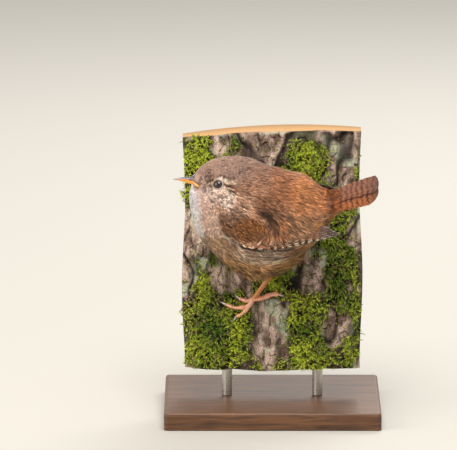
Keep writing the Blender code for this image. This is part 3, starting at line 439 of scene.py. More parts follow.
def to_world(along, up, left):
    """World points, in mm, of the bird's own frame rolled and set in place."""
    turned = roll(along)
    return np.stack([BODY_AT[0] + along,
                     BODY_AT[1] - up * np.sin(turned) - left * np.cos(turned),
                     BODY_AT[2] + up * np.cos(turned) - left * np.sin(turned)], axis=-1)


def pass_through(a, b, c, d, f):
    """Catmull-Rom curve from b to c at the share f, with a before and d after them."""
    return 0.5 * (2.0 * b + (c - a) * f + (2.0 * a - 5.0 * b + 4.0 * c - d) * f ** 2
                  + (3.0 * b - a - 3.0 * c + d) * f ** 3)


def through(rows, at):
    """That curve through the rows of a table, at fractional row numbers."""
    rows = np.asarray(rows, float)
    table = np.vstack([2.0 * rows[0] - rows[1], rows, 2.0 * rows[-1] - rows[-2]])
    i = np.clip(np.floor(at).astype(int), 0, len(rows) - 2)
    return pass_through(*(table[i + k] for k in range(4)), (at - i)[..., None])


def body_shape(at, angle):
    """Along, up, left: an ellipse in each cross section, narrower below by the egg factor."""
    high_a, high_u, low_a, low_u, half, egg = np.moveaxis(through(BODY_SECTIONS, at), -1, 0)
    t = np.cos(angle)
    along = (high_a + low_a) / 2.0 + (high_a - low_a) / 2.0 * t
    up = (high_u + low_u) / 2.0 + (high_u - low_u) / 2.0 * t
    return along, up, half * np.sin(angle) * (1.0 - egg * t)


def wing_half(along, up):
    """Half width of the folded wings: profile along the body, rounded above and below."""
    knots = np.interp(along, WING_PROFILE[:, 0], np.arange(len(WING_PROFILE)))
    half = through(WING_PROFILE[:, 1:], knots)[..., 0]
    return half * np.sqrt(1.0 - np.minimum(np.abs(up + 1.0) / 27.6, 0.93) ** 2)


def off_line(along, up, line):
    """Distance from a point, or from a line of points, in the body's mid plane."""
    line = np.atleast_2d(line)
    here = np.stack([along, up], axis=-1)
    if len(line) == 1:
        return np.linalg.norm(here - line[0], axis=-1)
    best = np.full(np.shape(along), 1e9)
    for one, two in zip(line[:-1], line[1:]):
        span = two - one
        share = np.clip(((here - one) @ span) / (span @ span), 0.0, 1.0)
        best = np.minimum(best, np.linalg.norm(here - one - share[..., None] * span, axis=-1))
    return best


def near_line(along, up, line, full, fades):
    """Share from 1 within a distance of a line to 0 at that distance and the fade more."""
    return 1.0 - ease((off_line(along, up, line) - full) / fades)


def wing_up(along, up, left):
    """Height on the wing: up, less the lift of the right wing towards its tip."""
    return up - np.where(left < 0.0, RIGHT_WING_LIFT, 0.0) * (along + 18.0)


def wing_edge(along):
    """Height of the lower edge of the plumage over the wing."""
    return np.interp(along, *OVER_WING_EDGE.T)


def over_edge(along, up, left):
    """1 above the lower edge of the plumage on the wing and 0 below it."""
    return ease((wing_up(along, up, left) - wing_edge(along)) / 0.9)


def outline(at, angle, low=None):
    """Outer surface of the plumage: the body's shape, drawn out over the folded wings.

    low is the share of drawing out at a feather's root, kept along the feather.
    """
    along, up, left = body_shape(at, angle)
    on = wing_up(along, up, left)
    if low is None:
        low = over_edge(along, up, left)
    far_end = np.where(left < 0.0, 23.0, 30.0)
    share = low * ease((along + 21.5) / 4.0) * ease((19.5 - on) / 9.0) * ease((far_end - along) / 7.0)
    hollow = 0.9 * np.exp(-(off_line(along, on, SWIRL) / 2.0) ** 2)
    wing = np.maximum(wing_half(along, up) + 0.95 - hollow, np.abs(left))
    return to_world(along, up, np.where(left < 0.0, -1.0, 1.0)
                    * (np.abs(left) + share * (wing - np.abs(left))))


def slopes(surface, a, b):
    """Point, slopes along a and b, and outward normal, from small central steps."""
    step = 0.01
    one = (surface(a + step, b) - surface(a - step, b)) / (2.0 * step)
    two = (surface(a, b + step) - surface(a, b - step)) / (2.0 * step)
    return surface(a, b), one, two, unit(np.cross(two, one), 1e-12)


# The plumage's markings: hex code, line of points (along, up), distance up to which
# the colour is full and where it ends, and strength. Later ones lie over earlier.
MARKINGS = (
    ("#a48663", ((-26, -2), (-23, -9), (-18, -15)), 8, 18, 1),
    ("#ba8c58", ((-14, -20), (0, -24.8), (10, -18)), 5, 14, 1),
    ("#efc5a8", ((-9, -7.5), (2, -9), (9, -9)), 2.5, 7, 0.9),
    ("#a86e36", ((12, -8), (19, -8)), 1.5, 4.5, 0.85),
    # Painted shadow: a dark line on the flank just under the folded wing's lower edge
    ("#2c1e18", ((-12.2, -3), (-9.2, -4.2), (-5.4, -4.8), (-0.9, -4.8), (5, -4.6), (13.2, -5.9)),
     0.55, 1.3, 0.9),
    ("#a5793a", ((10, -19), (17, -14), (24, -8)), 3, 9, 0.8),
    ("#a4805f", ((-25, 3), (-21, -5)), 4, 11, 0.9),
    ("#c6a07c", ((-22, -7), (-20, -9.5)), 2, 6, 0.8),
    ("#d6b6a5", ((-28, 15), (-26.5, 9), (-24.5, 3)), 3.2, 8, 0.9),
    ("#f3eefa", ((-34.3, 17.5), (-34, 12.8), (-33.4, 8.5)), 1.4, 6.2, 0.95),
    ("#f6eeee", ((-33.4, 8.5), (-32.4, 3), (-30.8, -3)), 1, 5.2, 0.92),
    ("#b2734c", ((-5, 28), (4, 24.5), (9, 22.5)), 3, 8, 0.85),
    ("#cb9878", ((-9, 26.5), (-3, 24.5)), 2.5, 6.5, 0.8),
    ("#a28477", ((-30, 25), (-18, 30.5), (-6, 30)), 5, 9, 0.95),
    ("#b6907c", ((-4, 30), (0, 27)), 1.5, 5, 0.8),
    ("#8a7063", ((-31, 23.5), (-27, 27)), 1.5, 5, 0.7),
    ("#b9896c", ((-1, 24), (-6, 21), (-9, 16)), 3, 8, 0.7),
    ("#d2a98c", ((-8, 16), (-15, 14.5)), 2.8, 6.2, 0.8),
    ("#c4a188", ((-19.5, 12.4), (-17, 12.2)), 1.4, 3.6, 0.8),
    ("#d28a50", ((20, 18), (27, 14), (31, 11)), 5, 12, 0.85),
    ("#7a4c2c", ((-1, 16), (3, 16), (8, 13)), 2, 5.5, 0.7),
    ("#dc8a54", ((7, 5.5), (12, 5.5)), 3, 6, 0.8),
    ("#cf9468", ((16, 6.5), (24, 9)), 3.5, 7, 0.8),
    ("#c48830", ((27, 6), (30.5, 3)), 2, 5, 0.7),
    ("#805431", ((-14.5, 6.3), (-9, 5.8)), 4.6, 7.6, 0.92),
    ("#905b2c", ((-8, 6), (-3, 5.2)), 3.6, 6.6, 0.85),
    ("#8d6f5f", ((-17, 9), (-12, 12)), 1.5, 4.2, 0.55),
    ("#a96b3a", ((-3.5, 7.5), (-0.5, 3.5)), 2, 4.5, 0.6),
    # Painted shade: a dark band along the hollow between the small coverts and the shoulder feathers
    ("#3a251c", ((0.5, 13.5), (4.6, 9.5), (5.5, 5)), 0.8, 3, 0.8),
    ("#e8cbbe", ((-25.5, 17.8), (-21, 17.6), (-17, 17.6)), 2.8, 5.4, 0.88),
    ("#b3937f", ((-29.5, 22.5), (-24.5, 22.3)), 1.6, 3, 0.7),
    ("#80604c", ((-13.5, 22.4), (-8.5, 20.6)), 0.8, 2.4, 0.55),
    ("#4a3327", ((-18.4, 22.3), (-15.4, 22.4)), 0.3, 0.9, 0.95),
    ("#d9c1ab", ((-17.8, 21.2), (-14.8, 21.2)), 0.2, 0.7, 0.6),
    ("#4a3327", ((-16.9, 20.6), (-13.9, 20.3)), 0.35, 1, 0.95),
    ("#6f5344", ((-23.8, 24.9), (-19.2, 25.6), (-14, 25.3)), 0.3, 1.1, 0.6),
    ("#e6cfbb", ((-20.2, 24.3), (-19.2, 24.5), (-17.4, 24.2), (-14.8, 23.7)), 0.5, 1.3, 0.88),
    ("#d3b899", ((-14.8, 23.7), (-12.1, 23.3)), 0.4, 1.2, 0.65),
    ("#dcc6ac", ((-19.5, 19.9), (-16, 19.5), (-13, 18.5)), 0.4, 1.4, 0.6),
    ("#4f3a2e", ((-25.6, 22.9), (-23.6, 23.9)), 0.3, 0.9, 0.9),
    ("#d2b9a4", ((-25.6, 22.1), (-24, 22.3)), 0.3, 0.8, 0.7),
    ("#4f3a2e", ((-25.4, 21.3), (-24.1, 21)), 0.3, 0.9, 0.85),
    ("#43322a", ((-19.8, 6.4),), 0.5, 1.5, 0.75),
    ("#d0bfb6", ((-18.6, 0.2), (-15, -2), (-11.7, -3.8)), 0.4, 1.3, 0.65),
    ("#d6c5b6", (EYE_AT,), 2.3, 2.8, 0.3),
)
# Places where dark flecks are common: line, reach, and their share of the feathers
FLECKS = (
    (((-27, 20), (-22, 17), (-14, 16.5)), 4.6, 0.27),
    (((-29.5, 21.5), (-25.5, 24)), 2.8, 0.35),
    (((-20, 22), (-10, 20)), 2.4, 0.28),
    (((-20, 25), (-13, 24)), 1.5, 0.22),
    (((-8, -7), (4, -9.5), (15, -9)), 3.5, 0.34),
    (((-2, 14), (5, 11), (12, 8)), 6, 0.24),
    (((-14, -18), (0, -22), (12, -16)), 7, 0.15),
)
# Middle of the barred patch of the flank, as along and up
FLANK_BARS = ((-9.0, -6.5), (5.0, -8.0), (14.0, -8.0))


def plumage(along, up, left):
    """Colour of the plumage: chestnut above, overlaid by each marking in turn."""
    here = np.stack([along, up, left], axis=-1)
    along = along + 0.5 * grain(here, 1.3, 31, 1)
    up = up + 0.5 * grain(here, 1.3, 32, 1)
    colour = np.zeros(np.shape(along) + (3,)) + linear("#dba17b")
    for code, line, full, ends, strength in MARKINGS:
        share = strength * near_line(along, up, line, full, ends - full)
        colour = blend(colour, code, share[..., None])
    bars = np.sin(2.0 * np.pi * up / 1.8 + 0.9 * np.sin(along / 2.6))
    barred = near_line(along, up, FLANK_BARS, 1.8, 2.6)
    return colour * (1.0 - 0.7 * barred * ease(bars))[..., None]


def fleck_share(along, up):
    """Share of dark feathers at a place."""
    share = 0.035
    for line, reach, most in FLECKS:
        share = np.maximum(share, most * near_line(along, up, line, 0.5 * reach, 0.5 * reach))
    return share


def coat_depth(along, up):
    """Depth of the plumage: 1.3 mm on the body, 0.8 on the head, less at eye and bill."""
    depth = 0.75 + 0.55 * ease((along + 16.0) / 14.0)
    near = np.minimum(off_line(along, up, EYE_AT) - 2.4,
                      off_line(along, up, ((-32.0, 20.5), (-30.5, 20.5))) - 1.6)
    return depth * (0.2 + 0.8 * ease(near / 3.5))


def ring_grid(rows, columns, first, last, start=0.0):
    """Rings at even steps from first to last, and even turns round them from start."""
    return np.meshgrid(np.linspace(first, last, rows),
                       np.arange(columns) * 2.0 * np.pi / columns + start, indexing="ij")


def with_ends(rings, beyond=0.0):
    """Points of rings in one list, then the middles of the first and of the last ring."""
    ends = np.stack([rings[0].mean(axis=0), rings[-1].mean(axis=0) + beyond])
    return np.concatenate([rings.reshape(-1, 3), ends])


def with_end_tones(rows):
    """The same for colours: the first and last colour again, for the two middles."""
    return np.concatenate([rows, rows[:1], rows[-1:]])


def shell(rows, columns):
    """Faces of a closed round shell: quads between rings, and a fan at each end."""
    i, j = np.mgrid[0:rows - 1, 0:columns]
    a, b = i * columns + j, i * columns + (j + 1) % columns
    quads = np.stack([a, a + columns, b + columns, b], axis=-1).reshape(-1, 4)
    ring, last = np.arange(columns), (rows - 1) * columns
    following = (ring + 1) % columns
    first = np.stack([ring, following, np.full(columns, rows * columns)], axis=1)
    second = np.stack([last + following, last + ring, np.full(columns, rows * columns + 1)], axis=1)
    return [quads, first, second]


def shell_uv(rows, columns):
    """Unwrap of that shell by row and turn, each face with its own corners."""
    i, j = np.mgrid[0:rows - 1, 0:columns]
    u0, u1 = i / (rows - 1.0), (i + 1) / (rows - 1.0)
    v0, v1 = j / columns, (j + 1) / columns
    zero, one = np.zeros(columns), np.ones(columns)
    faces = (((u0, v0), (u1, v0), (u1, v1), (u0, v1)),
             ((zero, v0[0]), (zero, v1[0]), (zero, v0[0])), ((one, v1[0]), (one, v0[0]), (one, v0[0])))
    return np.concatenate([np.stack([np.stack(corner, axis=-1) for corner in face], axis=-2)
                           .reshape(-1, 2) for face in faces])


# Down: soft and matt, in the plumage's colours darkened as painted shade, ruffled so that it catches no
# light
down = speckled("down_matt", 2200.0, 3.0, (0.75, 1.15), (0.5, 0.0003), Roughness=0.95,
                Specular_IOR_Level=0.1)

at, angle = ring_grid(SKIN_ROWS, SKIN_COLUMNS, 0.0, LAST_SECTION, -np.pi)
along, up, left = body_shape(at, angle)
here, _, _, out = slopes(outline, at, angle)
# Painted shade: the skin deep in the coat has the plumage's colour at SKIN_SHADE
colour = SKIN_SHADE * plumage(along, up, left).reshape(-1, 3)
piece("skin", with_ends(here - out * coat_depth(along, up)[..., None]), shell(SKIN_ROWS, SKIN_COLUMNS),
      down, ["head", "neck", "torso"], colour=with_end_tones(colour),
      corner_uv=shell_uv(SKIN_ROWS, SKIN_COLUMNS)).data.flip_normals()


# Small feathers: tufts of narrow tapering barbs, rooted in the skin and combed
# along the lie of the coat, tiny at bill and eye and longest on the flanks.

# Lie of the coat: along, up, and degrees that the feathers point below the body's line
LIE = np.array((
    (-31.5, 23, -50), (-30.2, 23.6, -40), (-24, 29, -25), (-17.8, 28.3, -5), (-6.5, 27.7, 12),
    (-1, 23.8, 25), (-19.1, 24.4, 0), (-10.9, 23.6, 15), (-26.9, 22.4, -5), (-28.5, 18.5, 30),
    (-24.6, 17.5, 35), (-19.1, 17, 40), (-13.1, 15.9, 42), (-32.9, 15.7, 75), (-32, 9.7, 82),
    (-29.3, 0, 72), (-22.3, -12.8, 52), (-14.9, -21.1, 38), (-22.3, 4.6, 66), (-17.9, -4.3, 50),
    (-19.1, 3.5, 22), (-8.6, 5.1, 28), (-8.7, -1.3, 14), (-10.8, 13.4, 38), (-0.9, 13.6, 46),
    (2.4, 9.4, 66), (2.5, 4, 98), (0.6, 1, 110), (6, 3.5, 80), (6, 8, 66), (9.6, 1.8, 62),
    (12, 6, 50), (9.5, 18.2, 35), (18.7, 19.6, 32), (26.4, 16.7, 24), (22, 12, 30),
    (16.4, 3.1, 38), (23.3, 4.5, 28), (-6.4, -7.5, 12), (5, -8.7, 4), (16.4, -8.5, -5),
    (-6.4, -21.1, 25), (0, -24.8, 14), (11.9, -17.4, -12), (16.4, -15.3, -20), (5, 15, 44),
    (28, 11, 6), (30, 7, -20)))
# Length of a feather by body section, in mm
FEATHER_LENGTHS = ((0.0, 0.9), (1.0, 1.3), (2.0, 1.8), (3.0, 2.4), (4.0, 3.0), (5.0, 4.0), (6.0, 5.2),
                   (8.0, 6.8), (10.0, 6.8), (12.0, 6.6))
BARBS = 7
BODY_TUFTS = 14500
# Fleshy corner of the mouth, as along and up
GAPE = ((-33.5, 20.3), (-31.4, 20.6), (-29.8, 19.4))
# Side of a tuft's own cell on the unwrap
CELL = 0.003
# Patches in which a surface's area is taken, to spread the tufts evenly
AREA_ROWS, AREA_COLUMNS = 241, 361
# Where along the body feathers are cut to the edge over the wing
OVER_WING_SPAN = (-18.0, 29.0)
# Shares of a feather's own colour at root, middle and tip, and of a dark feather's; the dark
# root is painted shade deep in the coat
ROOT_TO_TIP = (0.55, 1.06, 1.25)
DARK_SHARE = 0.4


def lie_of(surface_shape, a, b):
    """World direction of the feathers: guides weighted by the inverse cube of distance."""
    along, up, _ = surface_shape(a, b)
    away = np.hypot(along[..., None] - LIE[:, 0], up[..., None] - LIE[:, 1])
    weight = 1.0 / (away ** 2 + 2.0) ** 1.6
    slope = np.radians(LIE[:, 2])
    back = (weight * np.cos(slope)).sum(axis=-1)
    fall = (weight * np.sin(slope)).sum(axis=-1)
    turned = roll(along)
    return unit(np.stack([back, fall * np.sin(turned), -fall * np.cos(turned)], axis=-1))


def follow(surface, lie, a, b, turn, step):
    """Move a distance over a surface along the lie, turned in the surface's own plane."""
    _, one, two, out = slopes(surface, a, b)
    way = lie(a, b)
    way = unit(way - out * (way * out).sum(axis=-1, keepdims=True), 1e-9)
    way = way * np.cos(turn)[..., None] + np.cross(out, way) * np.sin(turn)[..., None]
    aa, ab, bb = (one * one).sum(-1), (one * two).sum(-1), (two * two).sum(-1)
    da, db = (one * way).sum(-1), (two * way).sum(-1)
    size = np.maximum(aa * bb - ab * ab, 1e-6)
    return a + step * (da * bb - db * ab) / size, b + step * (db * aa - da * ab) / size


def scatter(surface, crowd, span_a, span_b, count):
    """Even places on a surface: a low-discrepancy sequence warped by area times crowding."""
    a, b = np.linspace(*span_a, AREA_ROWS), np.linspace(*span_b, AREA_COLUMNS)
    mid_a, mid_b = np.meshgrid((a[1:] + a[:-1]) / 2.0, (b[1:] + b[:-1]) / 2.0, indexing="ij")
    _, one, two, _ = slopes(surface, mid_a, mid_b)
    area = np.linalg.norm(np.cross(one, two), axis=-1) * crowd(mid_a, mid_b)
    rows = np.concatenate([[0.0], np.cumsum(area.sum(axis=1))])
    rows /= rows[-1]
    # Steps of the two-dimensional golden ratio: its inverse, and the inverse's square
    s, t = ((0.5 + np.arange(count) * step) % 1.0 for step in (0.7548776662466927, 0.5698402909980532))
    row = np.clip(np.searchsorted(rows, s) - 1, 0, len(rows) - 2)
    columns = np.concatenate([np.zeros((len(area), 1)), np.cumsum(area, axis=1)], axis=1)
    columns /= columns[:, -1:]
    column = np.clip((columns[row] < t[:, None]).sum(axis=1) - 1, 0, area.shape[1] - 1)
    low, high = columns[row, column], columns[row, column + 1]
    share = (t - low) / np.maximum(high - low, 1e-12)
    return np.interp(s, rows, a), b[column] + share * (b[1] - b[0])


def barb_mesh(roots, middles, tips, outs, width, lean):
    """Closed barbs: a flat three-sided bar that swells to the middle and ends in a point."""
    way = unit(tips - roots, 1e-9)
    across = unit(np.cross(outs, way), 1e-9)
    across = across * np.cos(lean)[..., None] + outs * np.sin(lean)[..., None]
    ridge = np.cross(way, across)
    wide = width[..., None]
    points = np.stack([roots + 0.35 * wide * across, roots + 0.2 * wide * ridge,
                       roots - 0.35 * wide * across, middles + 0.5 * wide * across,
                       middles + 0.3 * wide * ridge, middles - 0.5 * wide * across, tips], axis=-2)
    pattern = np.array([[0, 2, 1], [0, 1, 4], [0, 4, 3], [1, 2, 5], [1, 5, 4], [2, 0, 3], [2, 3, 5],
                        [3, 4, 6], [4, 5, 6], [5, 3, 6]])
    first = 7 * np.arange(points.size // 21)[:, None, None]
    return points.reshape(-1, 3), (first + pattern).reshape(-1, 3)


def tufts(surface, lie, shape, a, b, long, wide, depth, patch, tint, fleck, draw, fan=0.34,
          rise=(-0.42, 0.0), vary=1.0, stray=0.09):
    """Points, faces, colours and unwrap of one tuft at each place on a surface.

    rise is how far a tip lies over the surface, from and to; vary scales the play of
    light and dark, stray the spread of the directions.
    """
    count = len(a)
    wide, depth, fleck, fan, vary, stray, low, high = (
        np.reshape(value + 0.0 * a, (-1, 1)) for value in (wide, depth, fleck, fan, vary, stray, *rise))
    spread = np.linspace(-1.0, 1.0, BARBS) + draw.normal(0.0, 0.12, (count, BARBS))
    reach = long[:, None] * (1.0 - 0.22 * spread ** 2) * draw.uniform(0.82, 1.1, (count, BARBS))
    turn = fan * spread + stray * draw.normal(0.0, 1.0, (count, 1))
    a0, b0 = a[:, None] + 0.0 * spread, b[:, None] + 0.0 * spread
    a1, b1 = follow(surface, lie, a0, b0, turn, 0.5 * reach)
    a2, b2 = follow(surface, lie, a1, b1, -0.15 * turn, 0.5 * reach)
    stations = ((a0, b0), (a1, b1), (a2, b2))
    (root, _, _, root_out), (middle, _, _, middle_out), (tip, _, _, tip_out) = (
        slopes(surface, *station) for station in stations)
    # The higher the tips may stand out, the fewer of them do
    stand = draw.random((count, 1)) ** (0.5 + 0.5 * np.maximum(high, 0.0))
    stand = (low + (high - low) * stand * draw.uniform(0.6, 1.0, (count, BARBS)))[..., None]
    sunk = depth[..., None]
    points, faces = barb_mesh(
        root - root_out * (sunk + 0.1), middle - middle_out * (0.42 * sunk - 0.35 * stand),
        tip + tip_out * stand, middle_out, wide * draw.uniform(0.75, 1.2, (count, BARBS)),
        draw.normal(0.0, 0.45, (count, BARBS)))
    # Neighbours share their tone, so streaks run on from feather to feather
    cloud = grain(root[:, 0], 1.2, 41, 2)[:, None]
    order = grain(root[:, 0], 0.8, 43, 1).argsort().argsort()[:, None] / count
    tone = (1.0 + 0.4 * np.maximum(vary - 0.6, 0.0) * cloud) * (
        1.0 + vary * draw.normal(0.0, 0.15, (count, 1)))
    tone = tone * (1.0 + vary * draw.normal(0.0, 0.24, (count, BARBS)))
    dark = (order < fleck) | (draw.random((count, BARBS)) < 0.5 * fleck)
    tone = np.clip(tone, 0.35, 1.7) * np.where(dark, DARK_SHARE, 1.0)
    # Darker at the root: painted shade deep in the coat
    colours = [tint(*shape(*station)) * share * tone[..., None]
               for station, share in zip(stations, ROOT_TO_TIP)]
    colour = np.stack([colours[0]] * 3 + [colours[1]] * 3 + [colours[2]], axis=-2)
    shift = np.array([[0.0, -0.2], [0.0, 0.0], [0.0, 0.2], [0.5, -0.3], [0.5, 0.0], [0.5, 0.3],
                      [1.0, 0.0]])
    cell = np.stack([np.zeros((count, BARBS)), np.arange(BARBS) + np.zeros((count, 1))], axis=-1)
    inside = (cell[..., None, :] + shift) / np.array([1.0, BARBS]) * CELL
    uv = np.stack(patch(a, b), axis=-1)[:, None, None, :] + inside - CELL / 2.0
    return points, faces, colour.reshape(-1, 3), np.clip(uv, 0.0, 1.0).reshape(-1, 2)


def body_patch(a, b):
    """Place of a root on the skin's unwrap: section and turn, each as a share."""
    return a / LAST_SECTION, (b + np.pi) / (2.0 * np.pi) % 1.0


def length_at(at, along, up):
    """Feather length by section, shorter round the eye, on the cheek and on the coverts."""
    long = np.interp(at, *np.transpose(FEATHER_LENGTHS))
    long = long * (0.4 + 0.6 * ease((off_line(along, up, EYE_AT) - 2.4) / 5.0))
    return long * (1.0 - 0.35 * near_line(along, up, ((-11.0, 5.0), (-5.0, 4.5)), 5.5, 4.0))


def body_crowd(at, angle):
    """Crowding of the tufts: more where feathers are shorter."""
    along, up, _ = body_shape(at, angle)
    return length_at(at, along, up) ** -1.35


# Contour feathers: soft barbs with a faint silky sheen, coloured at each point
contour = speckled("contour_feather_soft", 420.0, 3.0, (0.86, 1.14), Roughness=0.62,
                   Specular_IOR_Level=0.35, Sheen_Weight=0.12, Sheen_Roughness=0.4)

draw = np.random.default_rng(3)
at, angle = scatter(outline, body_crowd, (0.02, 11.98), (-np.pi, np.pi), BODY_TUFTS)
along, up, left = body_shape(at, angle)
long = length_at(at, along, up)
# None over the eyes or on the fleshy corner of the mouth
free = (off_line(along, up, EYE_AT) > 2.5) & (off_line(along, up, GAPE) > 0.75)
near_eye = off_line(along, up, ((EYE_AT[0] - 4.5, EYE_AT[1] - 0.3), EYE_AT))
blocked = (along < EYE_AT[0]) & (near_eye < 2.3) & (along + long > EYE_AT[0] - 2.2)
at, angle, along, up, left, long = (v[free & ~blocked] for v in (at, angle, along, up, left, long))
# Feathers over the wing end at their own lower edge and leave the flight feathers bare
low = over_edge(along, up, left)
above = np.maximum(wing_up(along, up, left) - wing_edge(along + 1.0), 0.0)
fall = -lie_of(body_shape, at, angle)[:, 2]
over = (low > 0.5) & (along > OVER_WING_SPAN[0]) & (along < OVER_WING_SPAN[1])
long = np.where(over, np.minimum(long, np.maximum(1.0 + above / np.maximum(fall, 0.2), 1.3)), long)
# Loose tips below the belly and where the rump runs out over the tail's root;
# elsewhere the outline is smooth
loose = ease((-up - 13.0) / 7.0) * ease((along + 22.0) / 10.0)
runs_out = ease((at - 9.4) / 1.6) * (1.0 - 0.7 * ease((np.cos(angle) - 0.75) / 0.2))
# Clumps of feathers 2 mm across that stand out together
clump = ease(0.5 + 1.8 * grain(np.stack([along, up, left], axis=-1), 2.0, 47, 1))
rise = (-0.4 + 0.5 * runs_out, 0.1 + (4.4 * loose * clump + 1.9 * runs_out))
wide = 0.19 + 0.024 * long + 0.12 * loose
fan = 0.14 + 0.22 * ease((6.0 - at) / 3.0)
# Plain on the throat, streaked on the wings, flanks and belly
throat = near_line(along, up, ((-34.0, 18.0), (-33.0, 4.0)), 3.0, 5.0)
streaked = near_line(along, up, ((-10.0, 4.0), (14.0, 3.0)), 6.0, 8.0)
vary = np.minimum(0.8 - 0.4 * throat + 1.6 * streaked + 1.8 * ease((-up - 4.0) / 6.0), 2.6)
depth, fleck = coat_depth(along, up), fleck_share(along, up)
# Zones that keep each piece small: last section, slot and the solid they stand for
ZONES = (("plumage_face", 2.75, "head_plumage", "head"), ("plumage_head", 4.15, "head_plumage", "head"),
         ("plumage_neck", 5.6, "neck_plumage", "neck"), ("plumage_breast", 6.9, "body_plumage", "torso"),
         ("plumage_flank", 8.4, "body_plumage", "torso"), ("plumage_rump", 12.0, "body_plumage", "torso"))
begin = 0.0
for name, end, slot_name, solid in ZONES:
    zone = (at >= begin) & (at < end)
    begin, kept_low = end, low[zone]

    def draped(a, b):
        """The plumage's surface with each feather's own share of drawing out."""
        return outline(a, b, kept_low.reshape((-1,) + (1,) * (np.ndim(a) - 1)))

    points, faces, colour, uv = tufts(
        draped, lambda a, b: lie_of(body_shape, a, b), body_shape, at[zone], angle[zone], long[zone],
        wide[zone], depth[zone], body_patch, plumage, fleck[zone], draw, fan=fan[zone],
        rise=[end_at[zone] for end_at in rise], vary=vary[zone], stray=0.09 + 0.4 * loose[zone])
    piece(name, points, faces, contour, [solid], colour=colour, uv=uv)


# Tail root: the rump narrows into a flat cone that carries the tail, clad in long
# soft coverts. Skin and tufts follow rings that blend from the body to the tail.

TAIL_ROOT = (22.0, 7.6)
TAIL_LENGTH = 36.2
TAIL_RISE = np.radians(34.0)
TAIL_TURN = roll(TAIL_ROOT[0] + 0.8 * TAIL_LENGTH)
TAIL_UP = np.array((0.0, -np.sin(TAIL_TURN), np.cos(TAIL_TURN)))
TAIL_LEFT = np.array((0.0, -np.cos(TAIL_TURN), -np.sin(TAIL_TURN)))
TAIL_AXIS = np.cos(TAIL_RISE) * np.array((1.0, 0.0, 0.0)) + np.sin(TAIL_RISE) * TAIL_UP
TAIL_OUT = np.cos(TAIL_RISE) * TAIL_UP - np.sin(TAIL_RISE) * np.array((1.0, 0.0, 0.0))
# Rings of the root: the body's end, then place along the tail, half width, thickness, lift
ROOT_SECTIONS = (11.0, 11.9)
ROOT_RINGS = ((9.6, 6.15, 2.5, 0.25), (13.0, 6.2, 1.2, 0.3), (16.5, 6.2, 0.6, 0.25),
              (22.0, 6.2, 0.45, 0.35))
ROOT_ROWS, ROOT_COLUMNS = 60, 72
ROOT_TUFTS = 1900


def tail_point(along, left, height):
    """World point of the tail: its plane is roofed to both sides and sags to the tip."""
    sag = 0.1 * np.abs(left) + 0.8 * (along / TAIL_LENGTH) ** 2
    return (to_world(*TAIL_ROOT, 0.0) + TAIL_AXIS * along[..., None] + TAIL_LEFT * left[..., None]
            + TAIL_OUT * (height - sag)[..., None])


def root_shape(a, angle):
    """Rings of the tail root, with a smooth curve through them lengthwise."""
    a, angle = np.broadcast_arrays(a, angle)
    rings = [outline(at + 0.0 * angle, angle) for at in ROOT_SECTIONS]
    for along, half, thick, lift in ROOT_RINGS:
        rings.append(tail_point(along + 0.0 * angle, half * np.sin(angle), lift + thick * np.cos(angle)))
    rows = np.stack([2.0 * rings[0] - rings[1], *rings, 2.0 * rings[-1] - rings[-2]])
    i = np.clip(np.floor(a).astype(int), 0, len(rings) - 2)
    near = (np.take_along_axis(rows, (i + k)[None, ..., None], axis=0)[0] for k in range(4))
    return pass_through(*near, (a - i)[..., None])


def root_colour(a, angle):
    """Rufous above, buff with pale and dark tips below."""
    over = ease((np.cos(angle) + 0.35) / 0.9)[..., None]
    bars = ease(np.sin(2.0 * np.pi * a / 0.55))[..., None]
    below = linear("#9c7a58") * (1.0 - 0.35 * bars)
    return blend(below, blend("#c07840", "#925329", ease(a / 2.6)[..., None]) * (1.0 - 0.12 * bars), over)


def straight_lie(surface):
    """Lie of feathers that point straight along a surface's first direction."""
    return lambda a, b: unit(slopes(surface, a, b)[1], 1e-9)


def limb_patch(length):
    """Place of a root on a limb's unwrap: share of its length, and turn."""
    return lambda a, b: (a / length, (b + np.pi) / (2.0 * np.pi))


def even(a, b):
    """The same crowding everywhere."""
    return 1.0 + 0.0 * a


a, angle = ring_grid(ROOT_ROWS, ROOT_COLUMNS, 0.0, 3.0, -np.pi)
here, _, _, out = slopes(root_shape, a, angle)
root_inset = 1.2 - 0.75 * ease((a - 0.8) / 2.0)
# Painted shade under the coverts: the skin has their colour at 0.6
colour = 0.6 * root_colour(a, angle).reshape(-1, 3)
piece("skin_tail_root", with_ends(here - out * root_inset[..., None]), shell(ROOT_ROWS, ROOT_COLUMNS),
      down, ["tail"], colour=with_end_tones(colour),
      corner_uv=shell_uv(ROOT_ROWS, ROOT_COLUMNS)).data.flip_normals()
a, angle = scatter(root_shape, even, (0.1, 2.1), (-np.pi, np.pi), ROOT_TUFTS)
points, faces, colour, uv = tufts(
    root_shape, straight_lie(root_shape), lambda a, b: (a, b), a, angle, 4.4 + 0.6 * np.cos(angle), 0.4,
    1.15 - 0.75 * ease((a - 0.8) / 1.8), limb_patch(4.0), root_colour, 0.1, draw, fan=0.22,
    rise=(0.0, 1.8 - 1.3 * ease(a - 0.5)), vary=1.6)
piece("plumage_tail_coverts", points, faces, contour, ["tail"], colour=colour, uv=uv)


# Tail: twelve narrow feathers, the middle pair on top, barred dark across, with a
# raised shaft and webs of fine barbs. Each is a thin closed blade.

TAIL_STEPS = (0.0, 0.1, 0.3, 0.8, 1.7, 3.1)
TAIL_PROFILE = ((0.0, 0.7), (0.5, 0.95), (0.85, 1.0), (1.0, 0.95))
# Mauve share of the near and of the far feather of each pair, the middle pair first
TAIL_LEVELS = ((0.95, 1.0), (0.45, 1.0), (0.15, 0.95), (0.0, 0.9), (0.0, 0.8), (0.1, 0.7))
BARB_PITCH = 0.5
# Ridge of the shaft: height in mm, and width as a share of the half width
SHAFT_HEIGHT, SHAFT_SHARE = 0.09, 0.12
SMOOTH = "SMOOTHSTEP"


